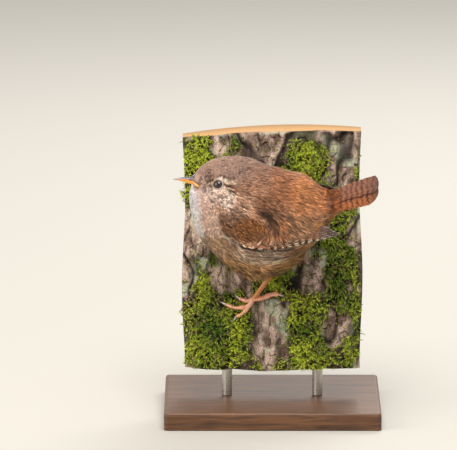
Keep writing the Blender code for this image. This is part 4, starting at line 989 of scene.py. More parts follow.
def blade(place_on, root, bend, tip, half, height, tilt, profile, rows=30, columns=11, thick=0.15,
          dip=0.0, edge=0.05, seed=0, square=0.8, corner=2.0):
    """Feather as a closed blade along a quadratic curve through three guide points.

    Width follows the profile and closes at the tip by a superellipse from the share
    square on; one edge is tilted up, the shaft is a narrow ridge, and the root dips
    by a square law. Returns points, faces, share across, distance along and place.
    """
    t = 1.0 - (1.0 - np.linspace(0.0, 1.0, rows)[:, None]) ** 1.4
    root, bend, tip = (np.array(v, float) for v in (root, bend, tip))
    line = root * (1 - t) ** 2 + bend * (2 * t * (1 - t)) + tip * t ** 2
    slope = unit((bend - root) * (1 - t) + (tip - bend) * t)
    across = np.stack([slope[:, 1], -slope[:, 0]], axis=1)
    q = np.sin(np.linspace(-0.5, 0.5, columns) * np.pi)[None, :]
    width = np.interp(t, *np.transpose(profile)) * np.sqrt(
        np.clip(1.0 - (np.clip(t - square, 0.0, 1.0) / (1.0 - square)) ** corner, 0.004, 1.0))
    ragged = 1.0 + edge * np.random.default_rng(seed).normal(0.0, 1.0, (rows, 1)) * np.abs(q) ** 3
    out = q * half * width * ragged
    place = line[:, None, :] + across[:, None, :] * out[..., None]
    lift = (height + tilt * out - 0.1 * q ** 2 * half + SHAFT_HEIGHT * np.exp(-(q / SHAFT_SHARE) ** 2)
            - dip * (1.0 - t) ** 2)
    thin = thick * (1.0 - 0.5 * np.abs(q)) * (1.0 - 0.5 * t)
    sheets = [place_on(place[..., 0], place[..., 1], lift + side * thin).reshape(-1, 3)
              for side in (0.5, -0.5)]
    count = rows * columns
    upper = grid_faces(rows, columns)
    rim = grid_rim(rows, columns)
    nxt = np.roll(rim, -1)
    faces = np.concatenate([upper, upper[:, ::-1] + count,
                            np.stack([rim, rim + count, nxt + count, nxt], axis=1)])
    share = np.tile((q + 0.0 * t).ravel(), 2)
    far = np.tile((t * np.linalg.norm(tip - root) + 0.0 * q).ravel(), 2)
    return np.concatenate(sheets), faces, share, far, np.tile(place.reshape(-1, 2), (2, 1))


def joined(parts):
    """One set of points and faces from several, the faces' corners shifted."""
    starts = np.cumsum([0] + [len(dots) for dots, *_ in parts])
    return (np.concatenate([dots for dots, *_ in parts]),
            [group + start for start, (_, groups, *_) in zip(starts, parts)
             for group in (groups if isinstance(groups, list) else [groups])])


def feathers(name, blades, material, nodes, flip=False):
    """Join blades into one piece with its pattern attributes and a tiled unwrap."""
    uv, marks = [], {"Across": [], "Down": [], "Level": [], "Kind": []}
    tiles = int(np.ceil(np.sqrt(len(blades))))
    for k, ((_, _, share, far, where), level, kind, phase) in enumerate(blades):
        under = np.repeat([0.0, 1.0], len(share) // 2)
        tile = np.array([k % tiles, k // tiles]) / tiles
        uv.append(tile + np.stack([(0.25 * (share + 1.0) + 0.5 * under) * 0.94 + 0.02,
                                   far / max(far.max(), 1e-6) * 0.94 + 0.03], axis=1) / tiles)
        for key, values in zip(marks, (share, where[:, 0] + phase, level, kind)):
            marks[key].append(values + 0.0 * share)
    points, faces = joined([made for made, *_ in blades])
    faces = np.concatenate(faces)[:, ::-1 if flip else 1]
    piece(name, points, faces, material, nodes, uv=np.concatenate(uv),
          marks={key: np.concatenate(values) for key, values in marks.items()})


def vane_look(name, pitch, waver, slant, paint, grit, dark, light, rib):
    """Material of a feather's webs: bars a pitch apart that slant and waver across them.

    paint makes the colours from the bars' wave and the place on the feather; barbs run
    out from the shaft at a slant, as fine ribs, and streak the webs from dark to light.
    """
    made, tree, shader = finish(name, Roughness=0.55, Specular_IOR_Level=0.35, Sheen_Weight=0.1,
                                Sheen_Roughness=0.4)
    at = {key: node(tree, "Attribute", attribute_name=key).outputs["Fac"]
          for key in ("Across", "Down", "Level", "Kind")}
    at["Place"] = place = node(tree, "TexCoord").outputs["Object"]
    drift = node(tree, "TexNoise", place, Scale=420.0, Detail=3.0)
    at["Aside"] = aside = node(tree, "Math", at["Across"], operation="ABSOLUTE")
    along = at["Down"]
    if slant:
        along = node(tree, "Math", aside, slant, along, operation="MULTIPLY_ADD")
    wavy = node(tree, "Math", drift, waver, along, operation="MULTIPLY_ADD")
    turns = node(tree, "Math", wavy, 2.0 * np.pi / pitch, operation="MULTIPLY")
    at["Wave"] = node(tree, "Math", turns, operation="SINE")
    barbs = node(tree, "Math", aside, -2.6, at["Down"], operation="MULTIPLY_ADD")
    barb_turns = node(tree, "Math", barbs, 2.0 * np.pi / BARB_PITCH, operation="MULTIPLY")
    combed = node(tree, "Math", barb_turns, operation="SINE")
    streak = node(tree, "TexNoise", place, Scale=grit, Detail=3.0)
    both = node(tree, "Math", combed, 0.06, streak, operation="MULTIPLY_ADD")
    shade = node(tree, "MapRange", both, 0.3, 0.7, dark, light)
    fill(shader, {"Base Color": node(tree, "VectorMath", paint(tree, at), shade, operation="SCALE"),
                  "Normal": node(tree, "Bump", rib, 0.0002, Height=combed)})
    return made


def tail_paint(tree, at):
    """Rufous webs, mauve-brown at Level 1, with worn dark bars, each with a pale edge.

    Where Kind is 1 the feather's edge is darkened, painted shadow along its overlap with the next pair;
    the tip is darker.
    """
    web = node(tree, "Mix", at["Level"], "#955426", "#70402a", data_type="RGBA")
    pales = node(tree, "MapRange", at["Wave"], -0.2, -0.95, 0.0, 0.4, interpolation_type=SMOOTH)
    lit = node(tree, "Mix", pales, web, "#9c603b", data_type="RGBA")
    bars = node(tree, "MapRange", at["Wave"], 0.2, 0.9, 0.0, 0.85, interpolation_type=SMOOTH)
    wear = node(tree, "TexNoise", at["Place"], Scale=330.0, Detail=2.0)
    worn = node(tree, "Math", bars, node(tree, "MapRange", wear, 0.36, 0.58, 0.45, 1.1),
                operation="MULTIPLY")
    bar_tone = node(tree, "Mix", at["Level"], "#331a10", "#35201b", data_type="RGBA")
    crossed = node(tree, "Mix", worn, lit, bar_tone, data_type="RGBA")
    # Painted shadow along the edges of the feather where Kind is 1
    rim_at = node(tree, "MapRange", at["Aside"], 0.72, 0.95, interpolation_type=SMOOTH)
    rim = node(tree, "Math", rim_at, at["Kind"], operation="MULTIPLY")
    edged = node(tree, "Mix", rim, crossed, "#2c1913", data_type="RGBA")
    tip_at = node(tree, "MapRange", at["Down"], 28.0, 36.5, 0.0, 0.75, interpolation_type=SMOOTH)
    return node(tree, "Mix", tip_at, edged, "#50352b", data_type="RGBA")


# Barred feather: satin webs with wavy dark bars 2.8 mm apart and combed barbs
barred = vane_look("tail_feather_barred", 2.8, 2.4, 0.5, tail_paint, 1400.0, 0.68, 1.3, 0.5)
draw = np.random.default_rng(29)
blades = []
for pair, levels in enumerate(TAIL_LEVELS):
    for side_sign, level in zip((1.0, -1.0), levels):
        near, first = side_sign > 0.0, pair == 0
        shift = -0.5 if first else 0.0
        step = TAIL_STEPS[pair] * (1.0 if near else 0.4)
        guides = [(far, shift + side_sign * (begin + spread * pair))
                  for far, begin, spread in ((2.0, 0.5, 0.42), (14.0, 0.5, 0.94),
                                             (TAIL_LENGTH - step, 0.75, 0.94))]
        lift = 0.62 - 0.06 * pair + (0.22 + 0.1 * side_sign if first else 0.0)
        made = blade(tail_point, *guides, 2.25 - 0.06 * pair, lift, -side_sign * 0.2, TAIL_PROFILE,
                     rows=44, seed=pair + (10 if near else 0), square=0.91, corner=3.6, edge=0.11)
        # Kind 1 on the near middle feather: its edges get the painted shadow line
        blades.append((made, level, 1.0 if first and near else 0.0, draw.uniform(-0.65, 0.65)))
feathers("tail_feathers", blades, barred, ["tail"], flip=True)


# Wings: folded flight feathers in stacked rows, chequered pale and dark on their
# outer webs, partly under the soft plumage. Each is a thin closed blade.

LONG_OUTLINE = ((0.0, 0.8), (0.45, 1.0), (0.83, 0.92), (1.0, 0.75))
# Count, roots, bends and tips (along, up) of the first and last, half widths, height
# over the wing's sheet, and share of pale chequers of the last and of the others
WING_ROWS = (
    (4, ((-1.0, 0.0), (-2.0, -1.0)), ((12.0, -1.9), (8.0, -2.4)), ((32.0, 2.2), (21.0, -1.5)),
     (1.7, 1.15), 0.0, 1.0, 1.0),
    (4, ((1.0, 6.5), (-1.0, 1.2)), ((14.0, 4.2), (12.0, -0.8)), ((30.0, 5.5), (34.6, 2.9)),
     (2.1, 1.7), 0.12, 0.3, 0.1),
    (5, ((2.0, 10.0), (1.0, 3.2)), ((12.0, 7.6), (12.0, 0.4)), ((22.0, 6.4), (26.5, 2.0)),
     (2.2, 1.9), 0.36, 0.35, 0.1),
    (3, ((2.0, 12.0), (1.0, 7.6)), ((10.0, 10.6), (12.0, 5.8)), ((17.0, 9.2), (23.0, 4.2)),
     (2.5, 2.2), 0.6, 0.1, 0.1),
    (4, ((-13.0, 1.2), (-10.0, 0.0)), ((-9.0, -1.2), (-4.0, -1.5)), ((-7.2, -2.4), (2.4, -2.0)),
     (1.1, 1.0), 0.92, 1.0, 1.0))
# The bastard wing, one narrow pale-edged feather over the coverts: root, bend, tip,
# half width and height
ALULA = ((-6.0, -2.6), (-3.2, -1.6), (0.6, 3.8), 0.55, 2.05)


def wing_sheet(side_sign):
    """Surface of one folded wing: along, up and height above the sheet."""
    lift = RIGHT_WING_LIFT if side_sign < 0.0 else 0.0

    def sheet(along, up):
        up = up + lift * (along + 18.0)
        return to_world(along, up, side_sign * wing_half(along, up))

    def surface(along, up, height):
        here = sheet(along, up)
        out = unit(np.cross(sheet(along + 0.1, up) - here, sheet(along, up + 0.1) - here))
        sunk = 0.85 * ease((up - wing_edge(along) + 0.3) / 1.5)
        return here + out * (side_sign * (height - sunk))[..., None]
    return surface


def wing_paint(tree, at):
    """Brown webs, grey at Level 1, faintly barred; their rim is dark, painted shadow where feathers
    overlap, and pale at Level 1, the grey feathers' own edge.

    The outer web has pale buff chequers between dark ones, as strong as Kind.
    """
    bars = node(tree, "MapRange", at["Wave"], -0.4, -0.05, interpolation_type=SMOOTH)
    web = node(tree, "Mix", at["Level"], "#a26b4c", "#66504a", data_type="RGBA")
    faint = node(tree, "Math", bars, 0.4, operation="MULTIPLY")
    webs = node(tree, "Mix", faint, web, "#40302a", data_type="RGBA")
    cheque = node(tree, "Mix", bars, "#f0dcbc", "#1a110c", data_type="RGBA")
    outer = node(tree, "MapRange", at["Across"], 0.5, 0.64, interpolation_type=SMOOTH)
    strong = node(tree, "Math", outer, at["Kind"], operation="MULTIPLY")
    both = node(tree, "Mix", strong, webs, cheque, data_type="RGBA")
    # Rim: painted shadow on brown feathers, the real pale edge on grey ones
    rim = node(tree, "MapRange", at["Aside"], 0.84, 0.95, 0.0, 0.8, interpolation_type=SMOOTH)
    rim_tone = node(tree, "Mix", at["Level"], "#2c1e17", "#dccfc6", data_type="RGBA")
    return node(tree, "Mix", rim, both, rim_tone, data_type="RGBA")


# Flight feather: satin webs chequered 3.3 mm apart on their outer edge, combed barbs
flight = vane_look("flight_feather_chequered", 3.3, 2.6, 0.0, wing_paint, 1500.0, 0.7, 1.28, 0.45)
# The right wing greys, with pale rims, from 12 mm along instead of 22: partly the real pale edges, partly
# painted light on its tip, which shows in shade behind the rump
for label, side_sign, grey_from in (("left", 1.0, 22.0), ("right", -1.0, 12.0)):
    sheet = wing_sheet(side_sign)
    pick = np.random.default_rng(17)
    blades = []
    for number, *guides, halves, height, last_pale, pale in WING_ROWS:
        for i in range(number):
            share = i / (number - 1.0)
            root, bend, tip, half = (np.array(first) + (np.array(last) - np.array(first)) * share
                                     for first, last in (*guides, halves))
            tip = tip + pick.uniform(-0.25, 0.25, 2) * (1.0, 0.5)
            made = blade(sheet, root, bend, tip, half, height + pick.uniform(-0.03, 0.03), 0.22,
                         LONG_OUTLINE, dip=0.5, seed=i + 40)
            # Greyer and less chequered towards the wing's tip
            grey = ease((made[4][:, 0] - grey_from) / 7.0)
            chequers = (last_pale if i == number - 1 else pale) * (1.0 - 0.2 * grey)
            blades.append((made, grey, chequers, pick.uniform(-0.8, 0.8)))
    made = blade(sheet, *ALULA, 0.1, LONG_OUTLINE, rows=24, dip=1.2)
    # Its bars run from edge to edge, so it is coloured as an outer web throughout
    blades.append(((*made[:2], 0.7 + 0.1 * made[2], *made[3:]), 0.0, 0.3, 0.0))
    feathers(f"wing_{label}_feathers", blades, flight, ["wing_" + label],
             flip=side_sign < 0.0)


# Eyes: dark wet balls set in the skull, a warm brown iris round a wide pupil under
# a clear cornea, each framed by a thin lid edged with tiny pale feathers.

EYE_RADIUS = 2.7
EYE_DEPTH = 1.8
EYE_ROWS, EYE_COLUMNS = 40, 48
# Angles from the eye's front, and their fades, where pupil and iris end
PUPIL_EDGE, IRIS_EDGE = (0.36, 0.06), (0.46, 0.08)
LID_RING = (1.98, 1.72)
LID_THICKNESS = 0.33
LID_ROWS, LID_COLUMNS = 56, 14
# Angle from a ball's pole to its first ring
POLE_GAP = 0.02


def body_near(spot, side_sign, sections, turns):
    """Section and turn where one side of the body is nearest to a point (along, up).

    They are the best of a fine grid, given as first, last and count of each.
    """
    at, angle = np.meshgrid(np.linspace(*sections), side_sign * np.linspace(*turns), indexing="ij")
    along, up, _ = body_shape(at, angle)
    best = np.argmin(np.hypot(along - spot[0], up - spot[1]))
    return at.ravel()[best:best + 1], angle.ravel()[best:best + 1]


def eye_frame(side_sign):
    """Point on the head's surface at the eye, with forward, downward and outward axes."""
    spot = body_near(EYE_AT, side_sign, (2.0, 5.0, 301), (0.6, 2.2, 321))
    here, _, _, out = slopes(lambda a, b: to_world(*body_shape(a, b)), *spot)
    forward = unit(np.array((-1.0, 0.0, 0.0)) + out[0] * out[0][0])
    return here[0], forward, side_sign * np.cross(out[0], forward), out[0]


def ball(rows, columns, centre, axes, radii):
    """Closed ellipsoid in rings from the front pole; radii scale its three axes."""
    polar, turn_by = ring_grid(rows, columns, POLE_GAP, np.pi - POLE_GAP)
    local = np.stack([np.sin(polar) * np.cos(turn_by) * radii[0],
                      np.sin(polar) * np.sin(turn_by) * radii[1], np.cos(polar) * radii[2]], axis=-1)
    rings = centre + local @ np.stack(axes)
    ends = np.stack([centre + radii[2] * axes[2], rings[-1].mean(axis=0)])
    return np.concatenate([rings.reshape(-1, 3), ends]), shell(rows, columns), polar


# Glassy eye: black pupil and brown iris under a clear wet coat
wet = speckled("eye_cornea_wet", 3000.0, 2.0, (0.7, 1.3), Roughness=0.2, Specular_IOR_Level=0.04,
               Coat_Weight=1.0, Coat_Roughness=0.02, Coat_IOR=1.52)

# Lid: bare grey-brown skin with fine creases, pale at its outer edge
lid_skin = speckled("lid_skin", 2600.0, 2.0, bump=(0.4, 0.0001), Roughness=0.55,
                    Specular_IOR_Level=0.4)

for label, side_sign in (("left", 1.0), ("right", -1.0)):
    spot, forward, under, out = eye_frame(side_sign)
    points, faces, polar = ball(EYE_ROWS, EYE_COLUMNS, spot - out * EYE_DEPTH,
                                (forward, under * side_sign, out), [EYE_RADIUS] * 3)
    pupil, ring_dark = (ease((polar - edge) / fade).reshape(-1, 1)
                        for edge, fade in (PUPIL_EDGE, IRIS_EDGE))
    colour = blend(blend("#040302", "#4a240c", pupil), "#090504", ring_dark)
    piece(f"eye_{label}_ball", points, faces, wet, ["eye_" + label],
          colour=with_end_tones(colour))
    i, j = np.mgrid[0:LID_ROWS, 0:LID_COLUMNS]
    turn_by, around = i * 2.0 * np.pi / LID_ROWS, j * 2.0 * np.pi / LID_COLUMNS
    ahead, below = np.cos(turn_by)[..., None], np.sin(turn_by)[..., None]
    lid = (spot + forward * LID_RING[0] * ahead + under * LID_RING[1] * below
           + LID_THICKNESS * ((forward * ahead + under * below) * np.cos(around)[..., None]
                              + out * (0.85 * np.sin(around))[..., None]))
    a, b = i * LID_COLUMNS + j, i * LID_COLUMNS + (j + 1) % LID_COLUMNS
    d, c = ((i + 1) % LID_ROWS * LID_COLUMNS + v % LID_COLUMNS for v in (j, j + 1))
    quads = np.stack([a, d, c, b] if side_sign > 0 else [a, b, c, d], axis=-1).reshape(-1, 4)
    # Palest below and behind the eye
    pale = ease((np.cos(around) - 0.1) / 0.6)[..., None] * (0.5 + 0.35 * below - 0.25 * ahead) ** 2
    colour = blend("#140e0c", "#f2e8dc", pale).reshape(-1, 3)
    piece("lid_" + label, lid.reshape(-1, 3), quads, lid_skin, ["head"], colour=colour)


# Bill: slender, slightly curved down, in two halves of horn; the upper one grey with
# a slit of a nostril, the lower one orange-yellow at its root, both pale grey at the tip:
# partly the horn's own pale tip, partly painted highlight.

# Along, culmen, mouth line, underside, half width
BILL_SECTIONS = np.array(((-27.6, 23.3, 19.9, 17.0, 2.5), (-31.2, 22.5, 20.3, 18.2, 2.05),
                          (-33.6, 22.2, 20.5, 18.9, 1.6), (-36.4, 22.1, 20.9, 19.8, 1.12),
                          (-39.2, 21.9, 21.2, 20.6, 0.68), (-41.6, 21.5, 21.2, 21.0, 0.2)))
BILL_ROWS, BILL_COLUMNS = 44, 36
NOSTRIL_AT = (-33.3, 21.5)
NOSTRIL_REACH = (0.8, 0.2)

# Horn: smooth, slightly waxy, with faint growth lines lengthwise
horn = speckled("bill_horn_waxy", 1.0, 3.0, (0.82, 1.15), (0.15, 0.0001), (300.0, 2600.0, 2600.0),
                Roughness=0.28, IOR=1.54, Coat_Weight=0.25, Coat_Roughness=0.15, Subsurface_Weight=0.08,
                Subsurface_Radius=(0.002, 0.001, 0.0005), Subsurface_Scale=0.5)

for name, sign, slot_name in (("bill_upper", 1.0, "bill_dark"), ("bill_lower", -1.0, "bill_yellow")):
    at, turn_by = ring_grid(BILL_ROWS, BILL_COLUMNS, 0.0, 5.0)
    along, culmen, mouth, under, half = np.moveaxis(through(BILL_SECTIONS, at), -1, 0)
    edge_up = mouth + sign * 0.1
    reach = np.maximum(sign * ((culmen if sign > 0 else under) - edge_up), 0.1)
    # A half round: the outer half of the ring is the horn, the inner half nearly flat
    swell = np.abs(np.sin(turn_by))
    up = edge_up + sign * reach * np.where(np.sin(turn_by) > 0.0, swell ** 0.9, -0.12 * swell)
    left = half * np.cos(turn_by) * (1.0 - 0.12 * np.clip(np.sin(turn_by), 0.0, 1.0))
    slit = np.exp(-((along - NOSTRIL_AT[0]) / NOSTRIL_REACH[0]) ** 2
                  - ((up - NOSTRIL_AT[1]) / NOSTRIL_REACH[1]) ** 2)
    slit = slit * (sign > 0.0) * (np.sin(turn_by) > 0.0)
    # Pale tip: partly the horn's own colour, partly painted highlight
    tip = ease((-37.0 - along) / 4.0)[..., None]
    faces = shell(BILL_ROWS, BILL_COLUMNS)
    if sign > 0.0:
        ridge = ease((up - mouth - 0.25 * (culmen - mouth)) / (0.35 * (culmen - mouth)))[..., None]
        # The nostril slit is darkened: painted shade in its recess
        colour = blend("#ee9a2e", "#4f4853", ridge) * (1.0 - 0.85 * slit[..., None])
        colour = blend(colour, "#b3a6ad", 0.75 * tip)
        faces = [group[:, ::-1] for group in faces]
    else:
        colour = blend("#f0a033", "#a8948c", tip)
    piece(name + "_horn", with_ends(to_world(along, up, left * (1.0 - 0.28 * slit)), (-0.3, 0.0, 0.0)),
          faces, horn, [name], colour=with_end_tones(colour.reshape(-1, 3)))


def bar(path, radii, columns, flat=1.0):
    """Closed tube: rings square to a path, each with its own radius, and a fan at each end."""
    way = unit(np.gradient(path, axis=0))
    across = unit(np.cross(way, np.array((0.13, -0.9, 0.4))))
    rise = np.cross(across, way)
    turn_by = np.arange(columns) * 2.0 * np.pi / columns
    rings = (path[:, None, :] + across[:, None, :] * (radii[:, None] * np.cos(turn_by))[..., None]
             + rise[:, None, :] * (radii[:, None] * np.sin(turn_by) * flat)[..., None])
    return np.concatenate([rings.reshape(-1, 3), path[:1], path[-1:]]), shell(len(path), columns)


# Gape: the fleshy orange corner of the mouth, a tapering fold on each cheek, and
# over it a narrower grey fold that ends the upper bill
GAPE_LINE = ((-33.8, 20.5), (-32.6, 20.8), (-31.4, 20.8), (-30.5, 20.5), (-29.9, 20.0))
GAPE_ROWS, GAPE_COLUMNS = 40, 14
# Name, height over the line, thickness, colours near the bill and at the far end, slot, solid
FOLDS = (("gape", 0.0, 0.55, "#f2a22e", "#c9803a", "bill_yellow", "bill_lower"),
         ("rictus", 0.85, 0.34, "#4f4853", "#6b5a55", "bill_dark", "bill_upper"))
for kind, higher, thick, near_tone, far_tone, slot_name, solid in FOLDS:
    for label, side_sign in (("left", 1.0), ("right", -1.0)):
        line = np.array(GAPE_LINE) + np.array((-0.5 * higher, higher))
        sections = np.interp(-line[:, 0], -BILL_SECTIONS[:, 0], np.arange(len(BILL_SECTIONS)))
        fold = []
        for spot, narrow in zip(line, through(BILL_SECTIONS[:, 4:], sections)[..., 0]):
            near = body_near(spot, side_sign, (0.0, 3.0, 241), (0.2, 2.9, 271))
            on_skin = abs(body_shape(*near)[2][0]) if spot[0] > -31.9 else 0.0
            fold.append(to_world(*spot, side_sign * max(narrow, on_skin)))
        share = np.linspace(0.0, 1.0, GAPE_ROWS)
        points, faces = bar(through(fold, 4.0 * share),
                            0.15 + thick * np.sin(np.pi * share ** 0.8) ** 0.8, GAPE_COLUMNS)
        tone = blend(near_tone, far_tone, np.repeat(share, GAPE_COLUMNS)[:, None])
        piece(f"{kind}_{label}", points, faces, horn, [solid], colour=with_end_tones(tone))


# Legs: feathered thighs, slim shanks of pink-orange skin under overlapping scutes,
# four toes that grip the bark, and curved claws of pale grey horn.

# Side, toes' meeting place, mirror sign, turn in degrees, ankle and knee in the bird's frame
FEET = (("left", LEFT_FOOT, 1.0, 0.0, (3.4, -26.4, 2.2), (7.5, -17.0, 6.0)),
        ("right", RIGHT_FOOT, -1.0, 4.0, (11.5, -19.8, -10.2), (8.5, -12.0, -9.0)))
# Guide points along each toe in the foot's own directions, and the tip of its claw
TOES = (("inner", ((0.0, 0.0), (-2.5, -0.9), (-5.2, -0.3), (-6.6, 0.2)), (-9.0, 1.9)),
        ("middle", ((0.0, 0.0), (-2.6, -3.2), (-7.9, -4.3), (-12.9, -2.8)), (-16.3, -1.5)),
        ("outer", ((0.0, 0.0), (-2.4, -3.9), (-5.2, -7.0), (-8.4, -8.5)), (-10.3, -12.4)),
        ("hind", ((0.0, 0.0), (4.2, 0.5), (8.6, 2.2), (12.0, 2.2)), (16.4, 0.4)))
TOE_RADIUS = 1.16
SHANK_RADIUS = 0.98
CLAW_RADIUS, CLAW_TIP_RADIUS = 0.47, 0.06
# Ball of the foot, where the toes meet
HEEL_RADII = (1.25, 1.0, 1.25)
TOE_SCUTES, SHANK_SCUTES = 0.95, 1.05
SHANK_ROWS, SHANK_COLUMNS = 110, 22
TOE_ROWS, TOE_COLUMNS = 60, 18
CLAW_ROWS, CLAW_COLUMNS = 26, 14
THIGH_ROWS, THIGH_COLUMNS = 20, 28
THIGH_TUFTS = 260
THIGH_TONE = "#7d6041"


def on_bark(foot, mirror, turned, u, v, height):
    """Point over the bark in a foot's own two directions on the face."""
    turned, lean = np.radians(turned), np.arctan(LEAN)
    v = v * mirror
    x = foot[0] + u * np.cos(turned) - v * np.sin(turned)
    z = foot[1] + (u * np.sin(turned) + v * np.cos(turned)) * np.cos(lean)
    return np.stack([x, bark_face(x, z) - height * np.cos(lean), z + height * np.sin(lean)], axis=-1)


# Scaly skin: satin, a little translucent, darker in the seams between scutes
scutes, tree, shader = finish("leg_skin_scuted", Roughness=0.3, Specular_IOR_Level=0.6, Coat_Weight=0.9,
                              Coat_Roughness=0.22, Subsurface_Weight=0.12,
                              Subsurface_Radius=(0.0015, 0.0006, 0.0003), Subsurface_Scale=0.6)
cells = node(tree, "TexVoronoi", node(tree, "TexCoord").outputs["Object"], Scale=2600.0)
shade = node(tree, "MapRange", cells, 0.0, 0.6, 1.1, 0.82)
tint = node(tree, "Attribute", attribute_name="Col")
fill(shader, {"Base Color": node(tree, "VectorMath", tint, shade, operation="SCALE"),
              "Normal": node(tree, "Bump", 0.3, 0.0001, Height=cells)})

# Claw horn: pale grey, smooth, darker at the tip
claw_horn = speckled("claw_horn_smooth", 2200.0, 2.0, (0.85, 1.12), Roughness=0.3, IOR=1.54,
                     Coat_Weight=0.2, Coat_Roughness=0.2)


def scute_colour(steps, count, light, seam):
    """Skin colour of a limb, ends included: darker in the seam behind each scute."""
    dark = (1.0 - ease(steps / 0.35))[:, None, None]
    return with_end_tones((blend(light, seam, 0.7 * dark) + np.zeros((len(steps), count, 3)))
                          .reshape(-1, 3))


for label, foot, mirror, turned, ankle, knee in FEET:
    ankle_at, knee_at = to_world(*ankle), to_world(*knee)
    joint = on_bark(foot, mirror, turned, 0.0, 0.0, HEEL_RADII[0])
    t = np.linspace(-0.45, 1.0, SHANK_ROWS)
    # Saw-tooth from 0 to 1: each scute rises and drops at the next
    steps = t * np.linalg.norm(joint - ankle_at) / SHANK_SCUTES % 1.0
    below = np.clip(t, 0.0, 1.0)
    radius = SHANK_RADIUS * (1.0 + 0.24 * (1.0 - below) + 0.2 * below ** 6) * (0.96 + 0.07 * steps)
    points, faces = bar(ankle_at + (joint - ankle_at) * t[:, None], radius, SHANK_COLUMNS)
    piece("shank_" + label, points, faces, scutes, ["leg_" + label],
          colour=scute_colour(steps, SHANK_COLUMNS, "#c67b3f", "#804620"))
    parts, colours = [], []
    for toe, toe_path, claw_tip in TOES:
        hind = toe == "hind"
        share = np.linspace(0.0, 1.0, TOE_ROWS)
        u, v = np.moveaxis(through(toe_path, share * (len(toe_path) - 1)), -1, 0)
        base = TOE_RADIUS * (1.0 - 0.34 * share) * (1.22 if hind else 1.0)
        core = on_bark(foot, mirror, turned, u, v, base + 0.3)
        distance = np.concatenate([[0.0], np.cumsum(np.linalg.norm(np.diff(core, axis=0), axis=1))])
        steps = distance / TOE_SCUTES % 1.0
        # Two joints and the last pad, swollen on the hind toe
        swollen = sum(height * np.exp(-((share - middle) / reach) ** 2) for height, middle, reach
                      in ((0.24, 0.5, 0.06), (0.24, 0.82, 0.05), (0.42 if hind else 0.12, 0.93, 0.07)))
        radius = base * (0.86 + 0.12 * steps + swollen)
        radius = radius * np.sqrt(np.clip((1.004 - share) / 0.09, 0.03, 1.0))
        parts.append(bar(core, radius, TOE_COLUMNS, 0.9))
        colours.append(scute_colour(steps, TOE_COLUMNS, "#eaa582", "#8a4627"))
        # The claw starts inside the toe and arches to its tip on the bark
        end, tip = core[-1], on_bark(foot, mirror, turned, *claw_tip, 0.45)
        start = end - unit(end - core[-3]) * 0.5
        rise = unit(end - on_bark(foot, mirror, turned, u[-1], v[-1], 0.0))
        s = np.linspace(0.0, 1.0, CLAW_ROWS)[:, None]
        curve = start * (1 - s) ** 2 + ((start + tip) / 2.0 + rise * 0.9) * 2 * s * (1 - s) + tip * s ** 2
        points, faces = bar(curve, (CLAW_RADIUS * (1.0 - s) ** 0.8 + CLAW_TIP_RADIUS)[:, 0], CLAW_COLUMNS)
        far = np.concatenate([np.repeat(s[:, 0], CLAW_COLUMNS), [0.0, 1.0]])[:, None]
        piece(f"claw_{label}_{toe}_horn", points, faces, claw_horn, [f"claw_{label}_{toe}"],
              colour=blend("#b9abb0", "#5f5150", ease(1.4 * far - 0.4)))
    parts.append(ball(16, 20, joint, np.eye(3), HEEL_RADII))
    colours.append(np.tile(linear("#dc9b7e"), (len(parts[-1][0]), 1)))
    points, faces = joined(parts)
    piece("toes_" + label, points, faces, scutes, ["foot_" + label],
          colour=np.concatenate(colours))

    def thigh(a, b):
        """Cone of the thigh from knee at 0 to ankle at 1, narrowing by a square law."""
        axis = unit(ankle_at - knee_at)
        first = unit(np.cross(axis, np.array((0.0, -1.0, 0.2))))
        radius = 4.2 - 3.0 * a - 0.15 * a ** 2
        return (knee_at + (ankle_at - knee_at) * a[..., None] + first * (radius * np.cos(b))[..., None]
                - np.cross(axis, first) * (radius * np.sin(b))[..., None])

    def thigh_colour(a, b):
        """Dull buff-brown."""
        return linear(THIGH_TONE) + 0.0 * a[..., None]

    a, b = ring_grid(THIGH_ROWS, THIGH_COLUMNS, 0.0, 1.04)
    here, _, _, out = slopes(thigh, a, b)
    points = with_ends(here - out * 0.5)
    # Painted shade under the thigh feathers: the skin has their colour at 0.6
    piece("skin_thigh_" + label, points, shell(THIGH_ROWS, THIGH_COLUMNS), down,
          ["leg_" + label], colour=np.tile(0.6 * linear(THIGH_TONE), (len(points), 1)),
          corner_uv=shell_uv(THIGH_ROWS, THIGH_COLUMNS))
    a, b = scatter(thigh, even, (0.25, 0.97), (-np.pi, np.pi), THIGH_TUFTS)
    points, faces, colour, uv = tufts(
        thigh, straight_lie(thigh), lambda a, b: (a, b), a, b, 2.6 - 1.2 * a, 0.3, 0.5, limb_patch(1.0),
        thigh_colour, 0.1, draw, fan=0.3, rise=(-0.2, 0.25))
    piece("plumage_thigh_" + label, points, faces, contour, ["leg_" + label],
          colour=colour, uv=uv)


# Studio: a pale matt floor, one broad soft light above and in front, a fill low
# at the left, and the camera ten degrees above the horizon as in the photograph.

FLOOR_HALF = 6.0
FLOOR_Z = -0.0003
TARGET = Vector((-0.02033, -0.02384, 0.09184))
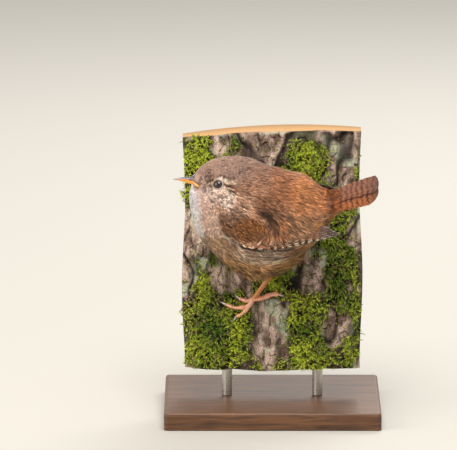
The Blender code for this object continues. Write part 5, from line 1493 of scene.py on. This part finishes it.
# Frame width at the target in metres, distance, and the lens on a 36 mm sensor
FRAME_WIDTH = 0.21022
DISTANCE = 3.0
ELEVATION = np.radians(10.0)
SENSOR_MM = 36.0


def put(name, data, where=None):
    """An object in the scene; with a place, it stands there and faces the target."""
    made = bpy.data.objects.new(name, data)
    if where is not None:
        made.location = where
        made.rotation_euler = (TARGET - Vector(where)).to_track_quat("-Z", "Y").to_euler()
    bpy.context.scene.collection.objects.link(made)
    return made


# Backdrop paper: matt, with a tooth too fine to see from here
paper, tree, shader = finish("floor_paper_matt", Base_Color="#b0aea9", Roughness=0.9)
tooth = node(tree, "TexNoise", node(tree, "TexCoord").outputs["Object"], Scale=900.0, Detail=2.0)
fill(shader, {"Normal": node(tree, "Bump", 0.05, 0.0002, Height=tooth)})
floor_mesh = bpy.data.meshes.new("floor")
floor_mesh.from_pydata([(x * FLOOR_HALF, y * FLOOR_HALF, FLOOR_Z)
                        for x, y in ((-1, -1), (1, -1), (1, 1), (-1, 1))], [], [(0, 1, 2, 3)])
floor_mesh.materials.append(paper)
floor = put("floor", floor_mesh)

# Square soft lights: name, place, side, watts and colour
for name, where, size, power, colour in (("key", (0.0, -0.8, 1.4), 1.0, 27.0, "#fffaf2"),
                                         ("fill", (-1.5, -0.7, 0.5), 1.5, 23.0, "#fff4e6"),
                                         ("rim", (0.3, 0.9, 0.9), 0.6, 10.0, "#fffdf8")):
    light = bpy.data.lights.new(name, "AREA")
    light.size, light.energy, light.color = size, power, linear(colour)
    put(name, light, where)
world = bpy.data.worlds.new("studio")
world.use_nodes = True
fill(world.node_tree.nodes["Background"], {"Color": "#ece9e4", "Strength": 0.9})
bpy.context.scene.world = world
bpy.context.scene.view_settings.view_transform = "Standard"

camera = bpy.data.cameras.new("camera")
camera.sensor_width = SENSOR_MM
camera.lens = SENSOR_MM * DISTANCE / FRAME_WIDTH
camera.clip_end = 20.0
bpy.context.scene.camera = put("camera", camera, TARGET + DISTANCE * Vector(
    (0.0, -np.cos(ELEVATION), np.sin(ELEVATION))))
